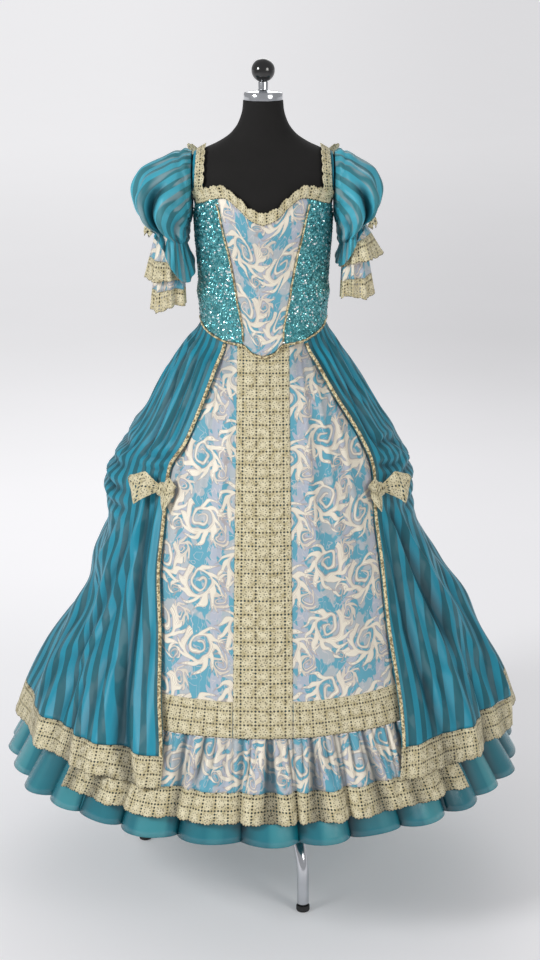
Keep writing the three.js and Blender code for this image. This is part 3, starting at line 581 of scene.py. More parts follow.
def organza_finish(name, glimpse_and_highlight, brights, sheers):
    """Stripes along the cut. The second argument is how much pale colour shows in streaks on the
    sheer stripes: partly a pattern underneath showing through, partly painted highlight.
    """
    cloth = Finish(
        name, "organza", Roughness=0.42, Specular_IOR_Level=0.28, Sheen_Weight=0.05, Sheen_Roughness=0.35
    )
    across, along = cloth.cloth()
    drift = cloth.cloud(cloth.joined(across, along), 5.0) * 0.0016
    share = ((across + drift) / STRIPE_PAIR).fraction()
    dense = share.rise(0.0, 0.05) * (1 - share.rise(0.5, 0.56))
    per_thread = TURN / ORGANZA_THREAD
    thread = (along * per_thread).sin() * (across * per_thread).sin() * 0.5 + 0.5
    tone = cloth.cloud(cloth.joined(across, along), 14.0, 3.0)
    bright = cloth.blend(tone, *map(paint, brights))
    sheer = cloth.blend(tone, *map(paint, sheers))
    # Pale streaks along the cut: partly the pattern underneath showing through, partly painted highlight
    # on crumpled folds.
    under = cloth.cloud(cloth.joined(across, along * 0.4), 38.0, 1.0).rise(0.5, 0.6)
    sheer = cloth.blend(under * glimpse_and_highlight, sheer, paint("9fb7bd"))
    striped = cloth.blend(dense * 0.95, sheer, bright)
    # Painted shade: points deep in a crease are mixed towards a dark teal.
    cloth.feed(
        Base_Color=cloth.blend(cloth.hollow() * 0.8, striped, paint("07323e")),
        Roughness=0.52 - dense * 0.16,
        Alpha=0.86 + dense * 0.14,
        Normal=cloth.relief(thread * 0.5 + dense * 0.5, 0.00015),
    )
    return cloth


skirt_organza = organza_finish("organza_overskirt", 0.12, ("17819a", "2995ae"), ("165e6f", "2c6e78"))
sleeve_organza = organza_finish("organza_sleeve", 0.6, ("2391aa", "57b6c8"), ("256a78", "4c939c"))
print("organza", len(skirt_organza.tree.nodes), "nodes")

# %% [markdown]
# ## Brocade
# The brocade has ivory scrolls with leafy fronds on a light blue ground, a silvery stem that winds
# between them, and a fine pinkish line round each shape. A small repeat is charted: the
# places, sizes and turning of six scrolls. Each scroll is worked out in polar form, so one short
# rule draws the spiral stroke and the fronds on its outer side.

# %% The scroll
REPEAT_ACROSS, REPEAT_ALONG, BROCADE_THREAD = 0.176, 0.128, 0.0016
SCROLLS = table(
    "across along radius hand start fronds reach slant",
    [
        (0.046, 0.052, 0.036, 1, 0.34, 10, 0.78, 1.6),
        (0.134, 0.090, 0.036, -1, 0.84, 10, 0.78, 1.6),
        (0.090, 0.020, 0.017, -1, 0.10, 7, 0.75, 1.3),
        (0.002, 0.112, 0.017, 1, 0.60, 7, 0.75, 1.3),
        (0.100, 0.058, 0.012, -1, 0.40, 4, 0.80, 0.9),
        (0.164, 0.030, 0.012, 1, 0.90, 4, 0.80, 0.9),
    ],
)


def scroll(across, along, chart):
    """How far inside one charted scroll a point is. With r the distance in radii and w the share
    of a turn, the stroke lies at r = 1 - 0.42 (w + n) for turns n = 0 and 1, and the fronds are a
    cosine of w that leans outwards and ends at their reach."""
    x = (across - chart["across"]).wrapped(REPEAT_ACROSS) / chart["radius"]
    y = (along - chart["along"]).wrapped(REPEAT_ALONG) / chart["radius"]
    far = (x * x + y * y).root()
    way = (y.work("ARCTAN2", y, x) * (chart["hand"] / TURN) - chart["start"]).fraction()
    outer_turn = 0.17 - way * 0.08 - abs(far - (1 - way * 0.42))
    inner_turn = 0.115 - way * 0.06 - abs(far - (0.58 - way * 0.42))
    beyond = far - (1 - way * 0.42)
    reach = way.rise(0.0, 0.25) * (1 - way.rise(0.8, 1.0)) * chart["reach"]
    teeth = ((way * chart["fronds"] + beyond * chart["slant"]) * TURN).cos() * 0.5 + 0.5
    fronds = (teeth * reach - beyond).lowest(0.3).lowest(beyond * 20) * 0.5
    return outer_turn.highest(inner_turn).highest(fronds) * (chart["radius"] / 0.03)


def stem(across, along, start, phase, sway):
    """How far inside a winding stem a point is: a sine up the cloth, widened by leaning leaves."""
    bend = ((along / REPEAT_ALONG + phase) * TURN).sin() * (0.013 * sway)
    off = (across - start - bend).wrapped(REPEAT_ACROSS)
    leaf = ((along * (5 / REPEAT_ALONG) - off * (sway / 0.016)) * TURN).cos() * 0.0055 + 0.0055
    return (leaf + 0.0055 - abs(off)) * 33


print("scrolls in a repeat", len(SCROLLS["radius"]))

# %% Brocade finish
brocade = Finish("scroll_brocade", "brocade", Roughness=0.5, Sheen_Weight=0.1)
across, along = brocade.cloth()
# The drawing is pushed sideways and along by waves, so that no two scrolls look stamped.
swirl = (along * (TURN / 0.061) + (across * (TURN / 0.09)).sin() * 3).sin() * 0.0032
sway = (across * (TURN / 0.053) + (along * (TURN / 0.08)).sin() * 2).sin() * 0.0032
drawn_across, drawn_along = across + swirl, along + sway
charts = [dict(zip(SCROLLS, map(float, row))) for row in rows_of(SCROLLS)]
ivory = scroll(drawn_across, drawn_along, charts[0])
for chart in charts[1:]:
    ivory = ivory.highest(scroll(drawn_across, drawn_along, chart))
silver = stem(across, along, 0.0, 0.0, 1).highest(stem(across, along, 0.088, 0.5, -1))
ivory_share = ivory.rise(-0.02, 0.035)
outline_pink = ivory.rise(-0.05, 0.0) * (1 - ivory.rise(0.02, 0.07))
haze = brocade.cloud(brocade.joined(across, along), 26.0, 2.0)
thread = ((across + along * 0.5) * (TURN / BROCADE_THREAD)).sin() * 0.5 + 0.5
ground = brocade.blend(haze.rise(0.52, 0.57) * 0.9, paint("569eb3"), paint("b0b5b8"))
ground = brocade.blend(silver.rise(-0.02, 0.03) * 0.9, ground, paint("adb2bf"))
veins = (ivory * 105.0).sin() * 0.5 + 0.5
raised = brocade.blend(veins.rise(0.3, 1.0) * 0.7, paint("ebe4d2"), paint("aea196"))
curl = brocade.cloud(brocade.joined(drawn_across, drawn_along * 0.6), 70.0, 1.0)
tendril = (1 - abs(curl - 0.47).rise(0.006, 0.022)) * (1 - ivory_share)
ground = brocade.blend(tendril * 0.6, ground, paint("cfc8c6"))
cloth_colour = brocade.blend(ivory_share, ground, raised)
cloth_colour = brocade.blend(outline_pink * 0.55, cloth_colour, paint("94888a"))
# Painted shade: deep gathers, and the panel just under the bodice, are mixed towards a dark blue.
brocade.feed(
    Base_Color=brocade.blend(brocade.hollow() * 0.85, cloth_colour, paint("1b3642")),
    Roughness=0.55 - ivory_share * 0.16,
    Normal=brocade.relief(ivory_share * 0.7 + thread * 0.3, 0.0003),
)
print("brocade", len(brocade.tree.nodes), "nodes")

# %% [markdown]
# ## Cotton lace
# The lace is a thick beige cotton: round rosettes of eight petals, each framed by lines of small
# holes, with fine pores between the threads. The holes are cut with alpha, so a part of the teal
# and blue below shows through, and they are painted dark, as painted shade in the gaps of a thick
# lace. The creases get painted shade too, and the rosettes' middles a painted highlight. The
# thread's colour drifts in a cloud that is partly soiling and partly painted highlight and shade.

# %% Beige lace
LACE_CELL, LACE_THREAD = 0.0275, 0.0022
lace = Finish("beige_lace", "lace", Roughness=0.8, Sheen_Weight=0.15)
across, along = lace.cloth()
x, y = across.wrapped(LACE_CELL) / LACE_CELL, (along - LACE_CELL / 2).wrapped(LACE_CELL) / LACE_CELL
far = (x * x + y * y).root()
petals = (y.work("ARCTAN2", y, x) * 8).cos()
petal_holes = petals.rise(0.1, 0.6) * far.rise(0.17, 0.2) * (1 - far.rise(0.26, 0.3))
net = ((x + y) * (TURN * 2)).cos() * ((x - y) * (TURN * 2)).cos()
frame_holes = net.rise(0.15, 0.45) * far.rise(0.38, 0.43)
flat_place = lace.joined(across, along)
worn = lace.cloud(flat_place, 95.0, 1.0).rise(0.3, 0.55) * 0.45 + 0.55
voronoi = lace.add(
    "ShaderNodeTexVoronoi", {}, {"Vector": flat_place, "Scale": 155.0, "Randomness": 0.8}
)
pores = 1 - Field(lace, voronoi.outputs["Distance"]).rise(0.18, 0.34)
holes = (frame_holes.highest(petal_holes * 0.6) * worn).highest(pores * 0.4)
slope_up, slope_down = (across + along) * (TURN / LACE_THREAD), (across - along) * (TURN / LACE_THREAD)
stitch = slope_up.sin() * slope_down.sin() * 0.5 + 0.5
# The thread's colour drifts in a cloud: partly soiling, partly painted highlight and shade.
soiling_and_painted_light = lace.cloud(flat_place, 75.0, 3.0).rise(0.15, 0.85)
thread_colour = lace.blend(soiling_and_painted_light, paint("ab9e74"), paint("ebe3c2"))
# Painted highlight: the rosettes' raised middles are mixed towards a pale cream.
ring = 1 - far.rise(0.24, 0.4)
thread_colour = lace.blend(ring * 0.3, thread_colour, paint("f2ead0"))
thread_colour = lace.blend(stitch * 0.3, thread_colour, paint("948659"))
# Painted shade: the holes and the creases are mixed towards a dark brown, while the alpha lets part of
# what lies below show through the holes.
lace.feed(
    Base_Color=lace.blend((holes + lace.hollow() * 0.65).lowest(1.0), thread_colour, paint("36352a")),
    Alpha=1 - holes * 0.6,
    Normal=lace.relief((1 - holes) * 0.6 + stitch * 0.2 + ring * 0.2, 0.0008),
)
print("lace", len(lace.tree.nodes), "nodes")

# %% [markdown]
# ## Trims, sequins, jersey and metal
# Gold braid is a matt metal thread, sequins are thin foil whose colour differs from one to the
# next, with a painted glint on a few of them, and the form wears black jersey with a fine rib.
# Chrome is nearly a mirror.

# %% Trims and sequins
gold = Finish("gold_braid", "braid", Metallic=0.25, Roughness=0.42)
glint = gold.cloud(gold.spot(), 210.0, 1.0)
gold.feed(
    Base_Color=gold.blend(glint.rise(0.4, 0.6), paint("857350"), paint("e6d8ae")),
    Roughness=0.3 + glint * 0.3,
    Normal=gold.relief(glint, 0.0004),
)

sequin_foil = Finish("sequin_foil", "sequins", Metallic=0.6, Roughness=0.2)
tint_node = sequin_foil.add("ShaderNodeAttribute", {"attribute_name": "tint"})
tint = Field(sequin_foil, tint_node.outputs["Fac"])
foil_colour = sequin_foil.blend(tint.rise(0.0, 0.7), paint("358a93"), paint("74bcc0"))
# Painted glint: sequins whose tint is near 1 are mixed towards near white.
foil_colour = sequin_foil.blend(tint.rise(0.86, 0.96), foil_colour, paint("f2fbfb"))
sequin_foil.feed(Base_Color=foil_colour, Roughness=0.34 - tint * 0.22)

bodice_cloth = Finish("bodice_cloth", "sequins", Roughness=0.6)
across, along = bodice_cloth.cloth()
shade = bodice_cloth.cloud(bodice_cloth.joined(across, along), 90.0, 2.0)
bodice_cloth.feed(
    Base_Color=bodice_cloth.blend(shade, paint("2a7880"), paint("4b9aa0")),
    Normal=bodice_cloth.relief(shade, 0.0008),
)
print("trims ready")

# %% Jersey, chrome, knob and rubber
jersey = Finish(
    "black_jersey",
    "jersey",
    Roughness=0.85,
    Specular_IOR_Level=0.35,
    Sheen_Weight=0.05,
    Sheen_Roughness=0.45,
)
jx, jy, jz = jersey.place()
rib = (jz * (TURN / 0.0018)).sin() * ((jx + jy) * (TURN / 0.0024)).sin() * 0.5 + 0.5
pile = jersey.cloud(jersey.spot(), 30.0, 3.0)
jersey.feed(
    Base_Color=jersey.blend(pile, paint("0d0c0b"), paint("151312")),
    Normal=jersey.relief(rib, 0.0002),
)

chrome = Finish("chrome", "chrome", Metallic=1.0, Roughness=0.1)
smear = chrome.cloud(chrome.spot(), 24.0, 2.0)
chrome.feed(
    Base_Color=chrome.blend(smear, paint("b9bcc0"), paint("d6d8dc")),
    Roughness=0.06 + smear * 0.14,
)

knob_gloss = Finish("knob_gloss", "knob", Coat_Weight=0.6, Coat_Roughness=0.05)
polish = knob_gloss.cloud(knob_gloss.spot(), 60.0, 2.0)
knob_gloss.feed(
    Base_Color=knob_gloss.blend(polish, paint("080808"), paint("121212")),
    Roughness=0.1 + polish * 0.1,
)

rubber = Finish("foot_rubber", "rubber")
scuff = rubber.cloud(rubber.spot(), 160.0, 3.0)
rubber.feed(
    Base_Color=rubber.blend(scuff, paint("161616"), paint("2c2c2c")),
    Roughness=0.6 + scuff * 0.3,
    Normal=rubber.relief(scuff, 0.0003),
)
print("finishes ready")

# %% [markdown]
# ## Satin underskirt
# Three gores carry the gown, and a gathered flounce in four lengths swings round the hem. On the
# real flounce the gathering makes deep, uneven waves that lean over at their crests. The waves are
# a cosine of a wave number whose spacing and depth drift, and leaning moves each crest sideways.

# %% Gores
HEM, FLOUNCE_TOP, FRONT_FOOT = 285.0, 470.0, 481.6
SEAM_GAP = 0.05


def gore_cut(points, origin=0.0, fullness=1.0):
    """The flat cut of a flared piece: every row keeps its own length, from the column at origin."""
    across = lengths(points, 1)
    start = across[:, [round(origin * (points.shape[1] - 1))]]
    along = np.broadcast_to(lengths(points, 0).mean(axis=1)[:, None], across.shape)
    return np.stack([(across - start) * fullness, along], axis=-1)


for side, first_turn, last_turn in (("front", -60, 60), ("right", 60, 180), ("left", 180, 300)):
    lowest = FRONT_FOOT + 0.4 if side == "front" else FLOUNCE_TOP + 0.6
    turn, z = crossed((first_turn + SEAM_GAP, last_turn - SEAM_GAP, 36), (lowest, SKIRT_TOP, 26))
    points = core_point(turn, z, 0.0)
    hang(
        f"gore_{side}", points, gore_cut(points, 0.5), satin, f"satin_gore_{side}",
    )
print("gores", {name: CUTS[name] for name in CUTS})

# %% Gathered satin flounce
WAVES = 30
SWING, DRAWN_IN = 25, 15
GATHER_DEPTH = 1.3


def wave_turn(wave, lean=0.0):
    """The angle of a wave number: 12 degrees a wave, drifting, and pushed sideways at the crests."""
    around = wave / WAVES * TURN
    drift = 1.5 * np.sin(3 * around + 0.6) + 0.9 * np.sin(7 * around + 2)
    return wave / WAVES * 360 + drift + lean * np.sin(TURN * wave)


def wave_depth(wave):
    """A cosine of the wave number, with a height that drifts from crest to crest."""
    around = wave / WAVES * TURN
    uneven = 0.75 + 0.25 * np.sin(11 * around) + 0.15 * np.sin(24 * around + 1)
    return np.cos(TURN * wave) * uneven


def wave_hollow(wave):
    """0 near the crests and 1 in the valleys, a little uneven."""
    valley = 0.5 - 0.5 * np.cos(TURN * (wave - 0.07))
    return np.clip(valley - 0.1 * np.sin(TURN * wave * 13 / WAVES), 0, 1)


quarter = WAVES / 4
for number, side in enumerate(("front", "right", "back", "left")):
    first_wave, last_wave = (number - 0.5) * quarter, (number + 0.5) * quarter
    wave, z = crossed((first_wave, last_wave, 168), (HEM, FLOUNCE_TOP, 14))
    fullness = 1 - ease(z, HEM, FLOUNCE_TOP)
    near_seam = GATHER_DEPTH * ease(z, 360, 455)
    gathers = np.cos(TURN * wave * 3 + 2 * np.sin(TURN * wave * 8 / WAVES)) - 1
    lift = fullness * (SWING * wave_depth(wave) - DRAWN_IN) + near_seam * gathers
    points = core_point(wave_turn(wave, 2.5 * fullness), z, lift)
    hang(
        f"hem_flounce_{side}", points, strip_cut(points), satin, f"satin_flounce_{side}",
        hollow=wave_hollow(wave),
    )
print("flounce cut", CUTS["hem_flounce_front"])

# %% [markdown]
# ## Brocade front
# A flat panel is sewn into the waist in soft pleats on either side of the lace band. The pleats
# are narrow at the waist and die out towards the hem. Below it a strip is gathered on, with lace
# round its edge. The lace's lower edge is scalloped in the mesh itself. On the flounce, each pleat
# that stands out in the photograph has a row in a table: its wave number, depth and width.

# %% Front edges and the panel's pleats
def trough(off, width):
    """1 in the middle, falling off by a soft point, with a raised shoulder on both sides."""
    far = np.abs(off / width)
    return np.exp(-(far**1.5)) - 0.55 * np.exp(-((far - 2.0) ** 2))


CROSS_TOP = 548.0
PANEL_LIFT, PANEL_REACH, BAND_LIFT = 1.9, 62, 1.5
# The turn of the overskirt's front edges at each height.
EDGES = table(
    "z left right",
    [
        (383, -22.5, 31),
        (440, -23.5, 34),
        (565, -29, 39.5),
        (665, -34, 43.5),
        (790, -40, 47.5),
        (880, -42, 50),
        (968, -44, 55),
        (1024, -38, 52),
        (1060, -36, 49),
        (1110, -34, 44),
        (1160, -33, 40.5),
        (1220, -32, 36.5),
        (SKIRT_TOP, -34, 36),
    ],
)


def loosen(z):
    """The front layers hang up to 1.5 mm further out below the waist."""
    return 1.5 * (1 - ease(z, 1000, 1230))


def panel_turn(column, z):
    """Columns -2 to 2 are the lace band's width; those beyond spread evenly out to the panel's reach."""
    half_width = between(59, 52, ease(z, 500, 1250))
    in_band = np.degrees(np.arcsin(half_width / core_section(z)["side"]))
    outside = (np.abs(column) - 2) / 7
    beyond = np.sign(column) * between(in_band, PANEL_REACH, outside)
    return np.where(np.abs(column) <= 2, column / 2 * in_band, beyond)


def panel_point(column, z, lift=0.0):
    """The core moved out by the pleats: half cosines of the column number, deepest under the waist,
    with narrower creases between them that fade sooner, and soft waves all the way down. All of
    them die out where the overskirt hides the panel."""
    outside = np.maximum(0, np.abs(column) - 2)
    depth = 2.6 * ease(z, 1195, 1080) * (1 - 0.7 * ease(z, 900, 520))
    fold = depth * (1 - np.cos(math.pi * outside)) * 0.5
    place = outside + 0.35 * np.sin(z / 140 + np.sign(column))
    crease = np.clip(np.sin(place * 4.4 + np.sign(column)), 0, 1) ** 2
    crease = crease * 4.2 * ease(z, 1205, 1120) * ease(z, 640, 980) * ease(outside, 0.1, 0.9)
    soft = 1.2 * (1 + np.sin(place * 2.3 + z / 210)) * ease(z, 1190, 1000) * ease(outside, 0.1, 1.0)
    turn = panel_turn(column, z)
    edge = np.where(turn > 0, read(EDGES, "right", z), -read(EDGES, "left", z))
    hidden = ease(np.abs(turn), edge - 1, edge + 4)
    folds = (fold + crease + soft) * (1 - hidden)
    return core_point(turn, z, PANEL_LIFT + loosen(z) + folds + lift)


print("lace band's edge in degrees", round(float(panel_turn(2, 1200.0)), 1))

# %% Brocade panel
column, z = crossed((-9, 9, 150), (FRONT_FOOT, SKIRT_TOP, 84))
points = panel_point(column, z)
# Painted shadow under the bodice's lower edge, on the panel beside the lace band.
painted_shadow_under_bodice = ease(z, 1100, 1190) * 0.35 * ease(np.abs(column), 2, 3)
hang(
    "brocade_panel", points, gore_cut(points, 0.5), brocade, "brocade_front",
    cloth=1.2, hollow=painted_shadow_under_bodice,
)
print("panel cut", CUTS["brocade_panel"])

# %% Lace bands on the panel
column, z = crossed((-2, 2, 28), (FRONT_FOOT, SKIRT_TOP, 110))
points = panel_point(column, z, BAND_LIFT)
band_along = lengths(points, 0).mean(axis=1)
hang(
    "lace_band", points,
    np.stack(np.meshgrid(steps(-2 * LACE_CELL, 2 * LACE_CELL, 28), band_along), axis=-1), lace,
    "lace_band_centre",
)
for side, first_column, last_column in (("left", -9, -2.02), ("right", 2.02, 9)):
    column, z = crossed((first_column, last_column, 72), (FRONT_FOOT, CROSS_TOP, 10))
    points = panel_point(column, z, BAND_LIFT)
    hang(
        f"cross_band_{side}", points, strip_cut(points), lace, f"lace_band_cross_{side}",
    )
print("band cuts", CUTS["lace_band"], CUTS["cross_band_left"])

# %% Gathered brocade flounce
LACE_TOP, LACE_HEM = 386.0, 329.0
PLEATS = table(
    "wave depth width",
    [
        (-3.9, 7, 0.1),
        (-3.1, 8, 0.11),
        (-2.4, 6, 0.09),
        (-1.55, 9, 0.12),
        (-1.2, 6, 0.07),
        (-0.55, 5, 0.08),
        (0.0, 12, 0.09),
        (0.45, 5, 0.08),
        (0.92, 12, 0.09),
        (1.5, 7, 0.1),
        (2.1, 9, 0.1),
        (2.9, 7, 0.1),
        (3.7, 8, 0.11),
    ],
)


FLOUNCE_GATHERS, SCALLOP_DEPTH = 3.1, 5.0


def flounce_folds(wave, z):
    """Fine gathers that fade from the seam downwards, and the charted pleats, which run to the hem."""
    gathers = np.cos(TURN * wave * 6 + 2.6 * np.sin(wave * 2.1)) + 0.6 * np.cos(TURN * wave * 9.3)
    folds = FLOUNCE_GATHERS * ease(z, 365, 430) * gathers
    for middle, depth, width in rows_of(PLEATS):
        folds = folds - depth * trough(wave - middle, width * between(1.3, 0.8, ease(z, 340, 470)))
    return folds


def flounce_point(wave, z):
    """Waves that grow towards the hem, with the gathers and pleats on them."""
    fullness = 1 - ease(z, LACE_HEM, 476)
    lift = PANEL_LIFT + loosen(z) + 2.5 + 6 * fullness + 9 * fullness * wave_depth(wave)
    lift = lift + flounce_folds(wave, z) * between(0.6, 1, ease(z, 478, 440))
    return core_point(wave_turn(wave, 1.3 * fullness), z, np.maximum(lift, 2.4))


def flounce_hollow(wave, z):
    """How deep a point lies in the gathers and pleats, from 0 to 1; the finishes paint shade with it."""
    return np.clip((0.5 - flounce_folds(wave, z)) / 8.5, 0, 1)


wave, z = crossed((-4.5, 4.5, 360), (LACE_TOP, 481, 16))
points = flounce_point(wave, z)
hang(
    "front_flounce", points, strip_cut(points), brocade, "brocade_flounce",
    cloth=1.2, hollow=flounce_hollow(wave, z),
)
print("flounce cut", CUTS["front_flounce"])


# %% Scallops and the flounce's lace
def notch(run, scallop_width):
    """0 in the middle of each scallop and 1 between two: one minus the root of a cosine."""
    return 1 - np.sqrt(np.abs(np.cos(math.pi * run / scallop_width)))


def scalloped(points, across, depth):
    """Lifts the lowest rows of a strip between the scallops, fading over the lowest third."""
    rows = points.shape[0]
    fade = (1 - ease(np.arange(rows) / (rows - 1), 0, 0.3))[:, None]
    moved = points.copy()
    moved[..., 2] += depth * fade * notch(across, LACE_CELL)
    return moved


wave, z = crossed((-4.0, 4.0, 300), (LACE_HEM, LACE_TOP - 0.3, 9))
points = flounce_point(wave, z)
cut = strip_cut(points)
hang(
    "front_flounce_lace", scalloped(points, cut[..., 0], SCALLOP_DEPTH), cut, lace, "flounce_lace",
    cloth=1.2, hollow=flounce_hollow(wave, z),
)
print("flounce lace cut", CUTS["front_flounce_lace"])

# %% [markdown]
# ## Organza overskirt
# The overskirt is open in front, and a bow on each side draws it up. Above the bow the cloth
# puffs and sags in short rolls; below it long folds fan out to the hem. Even folds are cosines of
# the distance from the front edge or from the bow. Each crease that stands out in the photograph
# has a row in a table, which says where it starts and ends, how deep it is and how wide.

# %% Overskirt tables
OVERSKIRT = table(
    "z left right back gap",
    [
        (383, 540, 551, 556, 24),
        (441, 518, 534, 532, 24),
        (500, 481, 502, 502, 22),
        (560, 444, 473, 474, 17),
        (620, 402, 441, 446, 13),
        (671, 376, 408, 424, 12),
        (741, 364, 364, 392, 12),
        (809, 338, 331, 366, 12),
        (878, 339, 318, 350, 13),
        (935, 324, 315, 328, 15),
        (990, 296, 290, 298, 16),
        (1045, 255, 251, 262, 14),
        (1111, 217, 211, 222, 12),
        (1176, 177, 167, 172, 9),
        (1225, 140, 136, 118, 5),
    ],
)
BOW_Z, BOW_LEFT, BOW_RIGHT = 915.0, -48.6, 56.0
BACK_START, OVERSKIRT_HEM, OVERSKIRT_LACE_TOP = 110.0, 383.0, 441.0
ORGANZA_LIFT = 3.7
BODICE_TOP = table(
    "turn z",
    [
        (0, 1464),
        (10, 1474),
        (20, 1498),
        (31, 1515),
        (42, 1511),
        (54, 1503),
        (66, 1498),
        (80, 1472),
        (92, 1456),
        (106, 1482),
        (124, 1512),
        (180, 1524),
    ],
)
BODICE_BOTTOM = table(
    "turn z",
    [
        (0, 1192),
        (8, 1198),
        (17, 1214),
        (31, 1218),
        (50, 1229),
        (70, 1242),
        (92, 1255),
        (180, 1244),
    ],
)


def edge_height(edge, turn):
    """The height of the bodice's edge, the same on both sides."""
    from_front = np.abs((turn + 180) % 360 - 180)
    return read(edge, "z", from_front, key="turn")


print("bow height", BOW_Z, "bow turns", BOW_LEFT, BOW_RIGHT)

# %% Creases in tables
# Each fall is a crease that runs down the cloth. Its turns are counted from centre front on its own
# side, its bend is in degrees halfway down, and a negative depth is a ridge. Each roll lies across.
FALL_ROWS = {
    "left": [
        (925, 51, 383, 30, 5, 13, 15),
        (915, 54, 760, 52, 0, 7, 8),
        (870, 55, 500, 62, 0, -4, 9),
        (870, 60, 480, 66, 0, 5, 13),
        (870, 66, 660, 84, 2, 3.5, 12),
        (720, 76, 540, 64, 0, -3, 9),
        (700, 84, 520, 72, 0, 3, 12),
        (640, 94, 470, 78, 0, 3.5, 14),
        (560, 40, 400, 36, 0, 5, 14),
        (540, 54, 383, 50, 0, 7, 16),
        (1225, 76, 955, 64, -9, 9, 9),
        (1215, 56, 960, 56, -5, 4, 8),
        (1205, 45, 985, 48, -3, 4, 7),
        (1160, 88, 1000, 78, 0, 6, 11),
        (680, 33, 383, 26, 0, -9, 26),
        (600, 46, 383, 40, 0, -8, 18),
        (560, 66, 383, 60, 0, -8, 20),
    ],
    "right": [
        (890, 60, 540, 63, 5, 13, 18),
        (880, 58, 500, 57, 4, -4, 9),
        (880, 55, 395, 42, 3, 7, 12),
        (860, 66, 470, 74, 4, -3, 10),
        (780, 76, 480, 66, 0, 4, 12),
        (720, 88, 500, 76, 0, 4, 13),
        (620, 98, 430, 84, 0, 3.5, 14),
        (560, 50, 383, 46, 0, 6, 14),
        (520, 68, 383, 62, 0, 8, 16),
        (1228, 66, 955, 70, -8, 9, 9),
        (1215, 78, 1060, 66, 0, 6, 8),
        (1150, 52, 985, 62, 0, 6, 9),
        (1220, 44, 1010, 56, -3, 4, 7),
        (1140, 90, 990, 84, 0, 5, 11),
        (680, 46, 383, 36, 0, -8, 24),
        (560, 58, 383, 54, 0, -8, 20),
        (540, 80, 383, 74, 0, -7, 20),
    ],
    "back": [
        (1220, 112, 640, 108, -3, 7, 14),
        (1190, 124, 430, 119, 2, 9, 17),
        (1225, 133, 900, 131, 0, 6, 10),
        (1200, 141, 383, 137, -2, 11, 20),
        (1100, 150, 560, 150, 2, 6, 12),
        (1225, 158, 400, 160, 0, 9, 18),
        (1180, 167, 760, 169, 0, 6, 11),
        (1228, 176, 383, 174, 2, 10, 19),
    ],
}
ROLL_ROWS = {
    "left": [
        (43, 66, 1002, 986, 14, 4, 8),
        (44, 67, 974, 962, 12, 5, 7),
        (47, 66, 950, 946, 7, 5, 6),
        (70, 112, 992, 1002, 14, 7, 12),
        (66, 106, 950, 958, 10, 7, 10),
        (62, 102, 902, 926, 12, 8, 11),
        (60, 98, 866, 890, 10, 6, 10),
        (67, 84, 1014, 940, 0, 5, 8),
        (70, 92, 876, 948, 0, 5, 8),
        (98, 128, 940, 970, 10, 6, 12),
    ],
    "right": [
        (58, 82, 964, 950, 8, 9, 8),
        (60, 92, 1014, 990, 10, 5, 9),
        (62, 80, 985, 1004, -4, 4, 7),
        (64, 104, 926, 940, 9, 8, 11),
        (66, 102, 892, 906, 8, 6, 10),
        (70, 98, 856, 880, 8, 6, 10),
        (74, 92, 1010, 945, 0, 5, 8),
        (98, 130, 930, 962, 10, 6, 12),
    ],
}
FALLS = {
    side: table("top start low end bend depth width", FALL_ROWS[side] + FALL_ROWS["back"])
    for side in ("left", "right")
}
ROLLS = {side: table("first last start end sag depth width", ROLL_ROWS[side]) for side in ROLL_ROWS}
print("falls", {side: len(FALL_ROWS[side]) for side in FALL_ROWS})
print("rolls", {side: len(ROLL_ROWS[side]) for side in ROLL_ROWS})


# %% The overskirt's creases
def creases(side, from_front, z, radius):
    """All the falls and rolls of one side, in millimetres outwards. A fall that ends at the hem
    keeps its depth there, and any other fades out."""
    total = np.zeros(np.broadcast(from_front, z).shape)
    for top, start, low, end, bend, depth, width in rows_of(FALLS[side]):
        share = np.clip((top - z) / (top - low), 0, 1)
        centre = between(start, end, share) + 4 * bend * share * (1 - share)
        fade = ease(share, 0, 0.15) * (1 if low <= OVERSKIRT_HEM else 1 - ease(share, 0.75, 1))
        off = np.radians(from_front - centre) * radius
        total -= depth * trough(off, width * between(0.7, 1.2, share)) * fade
    for first, last, start, end, sag, depth, width in rows_of(ROLLS[side]):
        share = np.clip((from_front - first) / (last - first), 0, 1)
        centre = between(start, end, share) - 4 * sag * share * (1 - share)
        fade = ease(share, 0, 0.3) * (1 - ease(share, 0.7, 1))
        total -= depth * trough(z - centre, width) * fade
    return total


def front_distance(turn):
    """Whether a point is on the right side, and its turn from centre front on its own side."""
    right_side = (turn > 0) & (turn < 180)
    return right_side, np.where(right_side, turn, 360 - turn)


def placed_creases(turn, z):
    """The creases of the side that each point is on, which start just behind the front edge."""
    right_side, from_front = front_distance(turn)
    total = np.zeros(from_front.shape)
    for side, here in (("right", right_side), ("left", ~right_side)):
        if here.any():
            edge = read(EDGES, side, z) * (1 if side == "right" else -1)
            radius = read(OVERSKIRT, side, z)
            placed = creases(side, from_front, z, radius) * ease(from_front, edge + 0.5, edge + 5)
            total = np.where(here, placed, total)
    return total


print("creases at the left bow", placed_creases(np.array([360 + BOW_LEFT]), np.array([BOW_Z])))

# %% The overskirt's even folds and surface
HEM_FOLD_WIDTH, HEM_FOLD_DEPTH, BACK_FOLDS = 188, 11, 18
FAN_DEPTH, SWAG_DEPTH, WAIST_GATHERS = 5, 4.5, 1.6


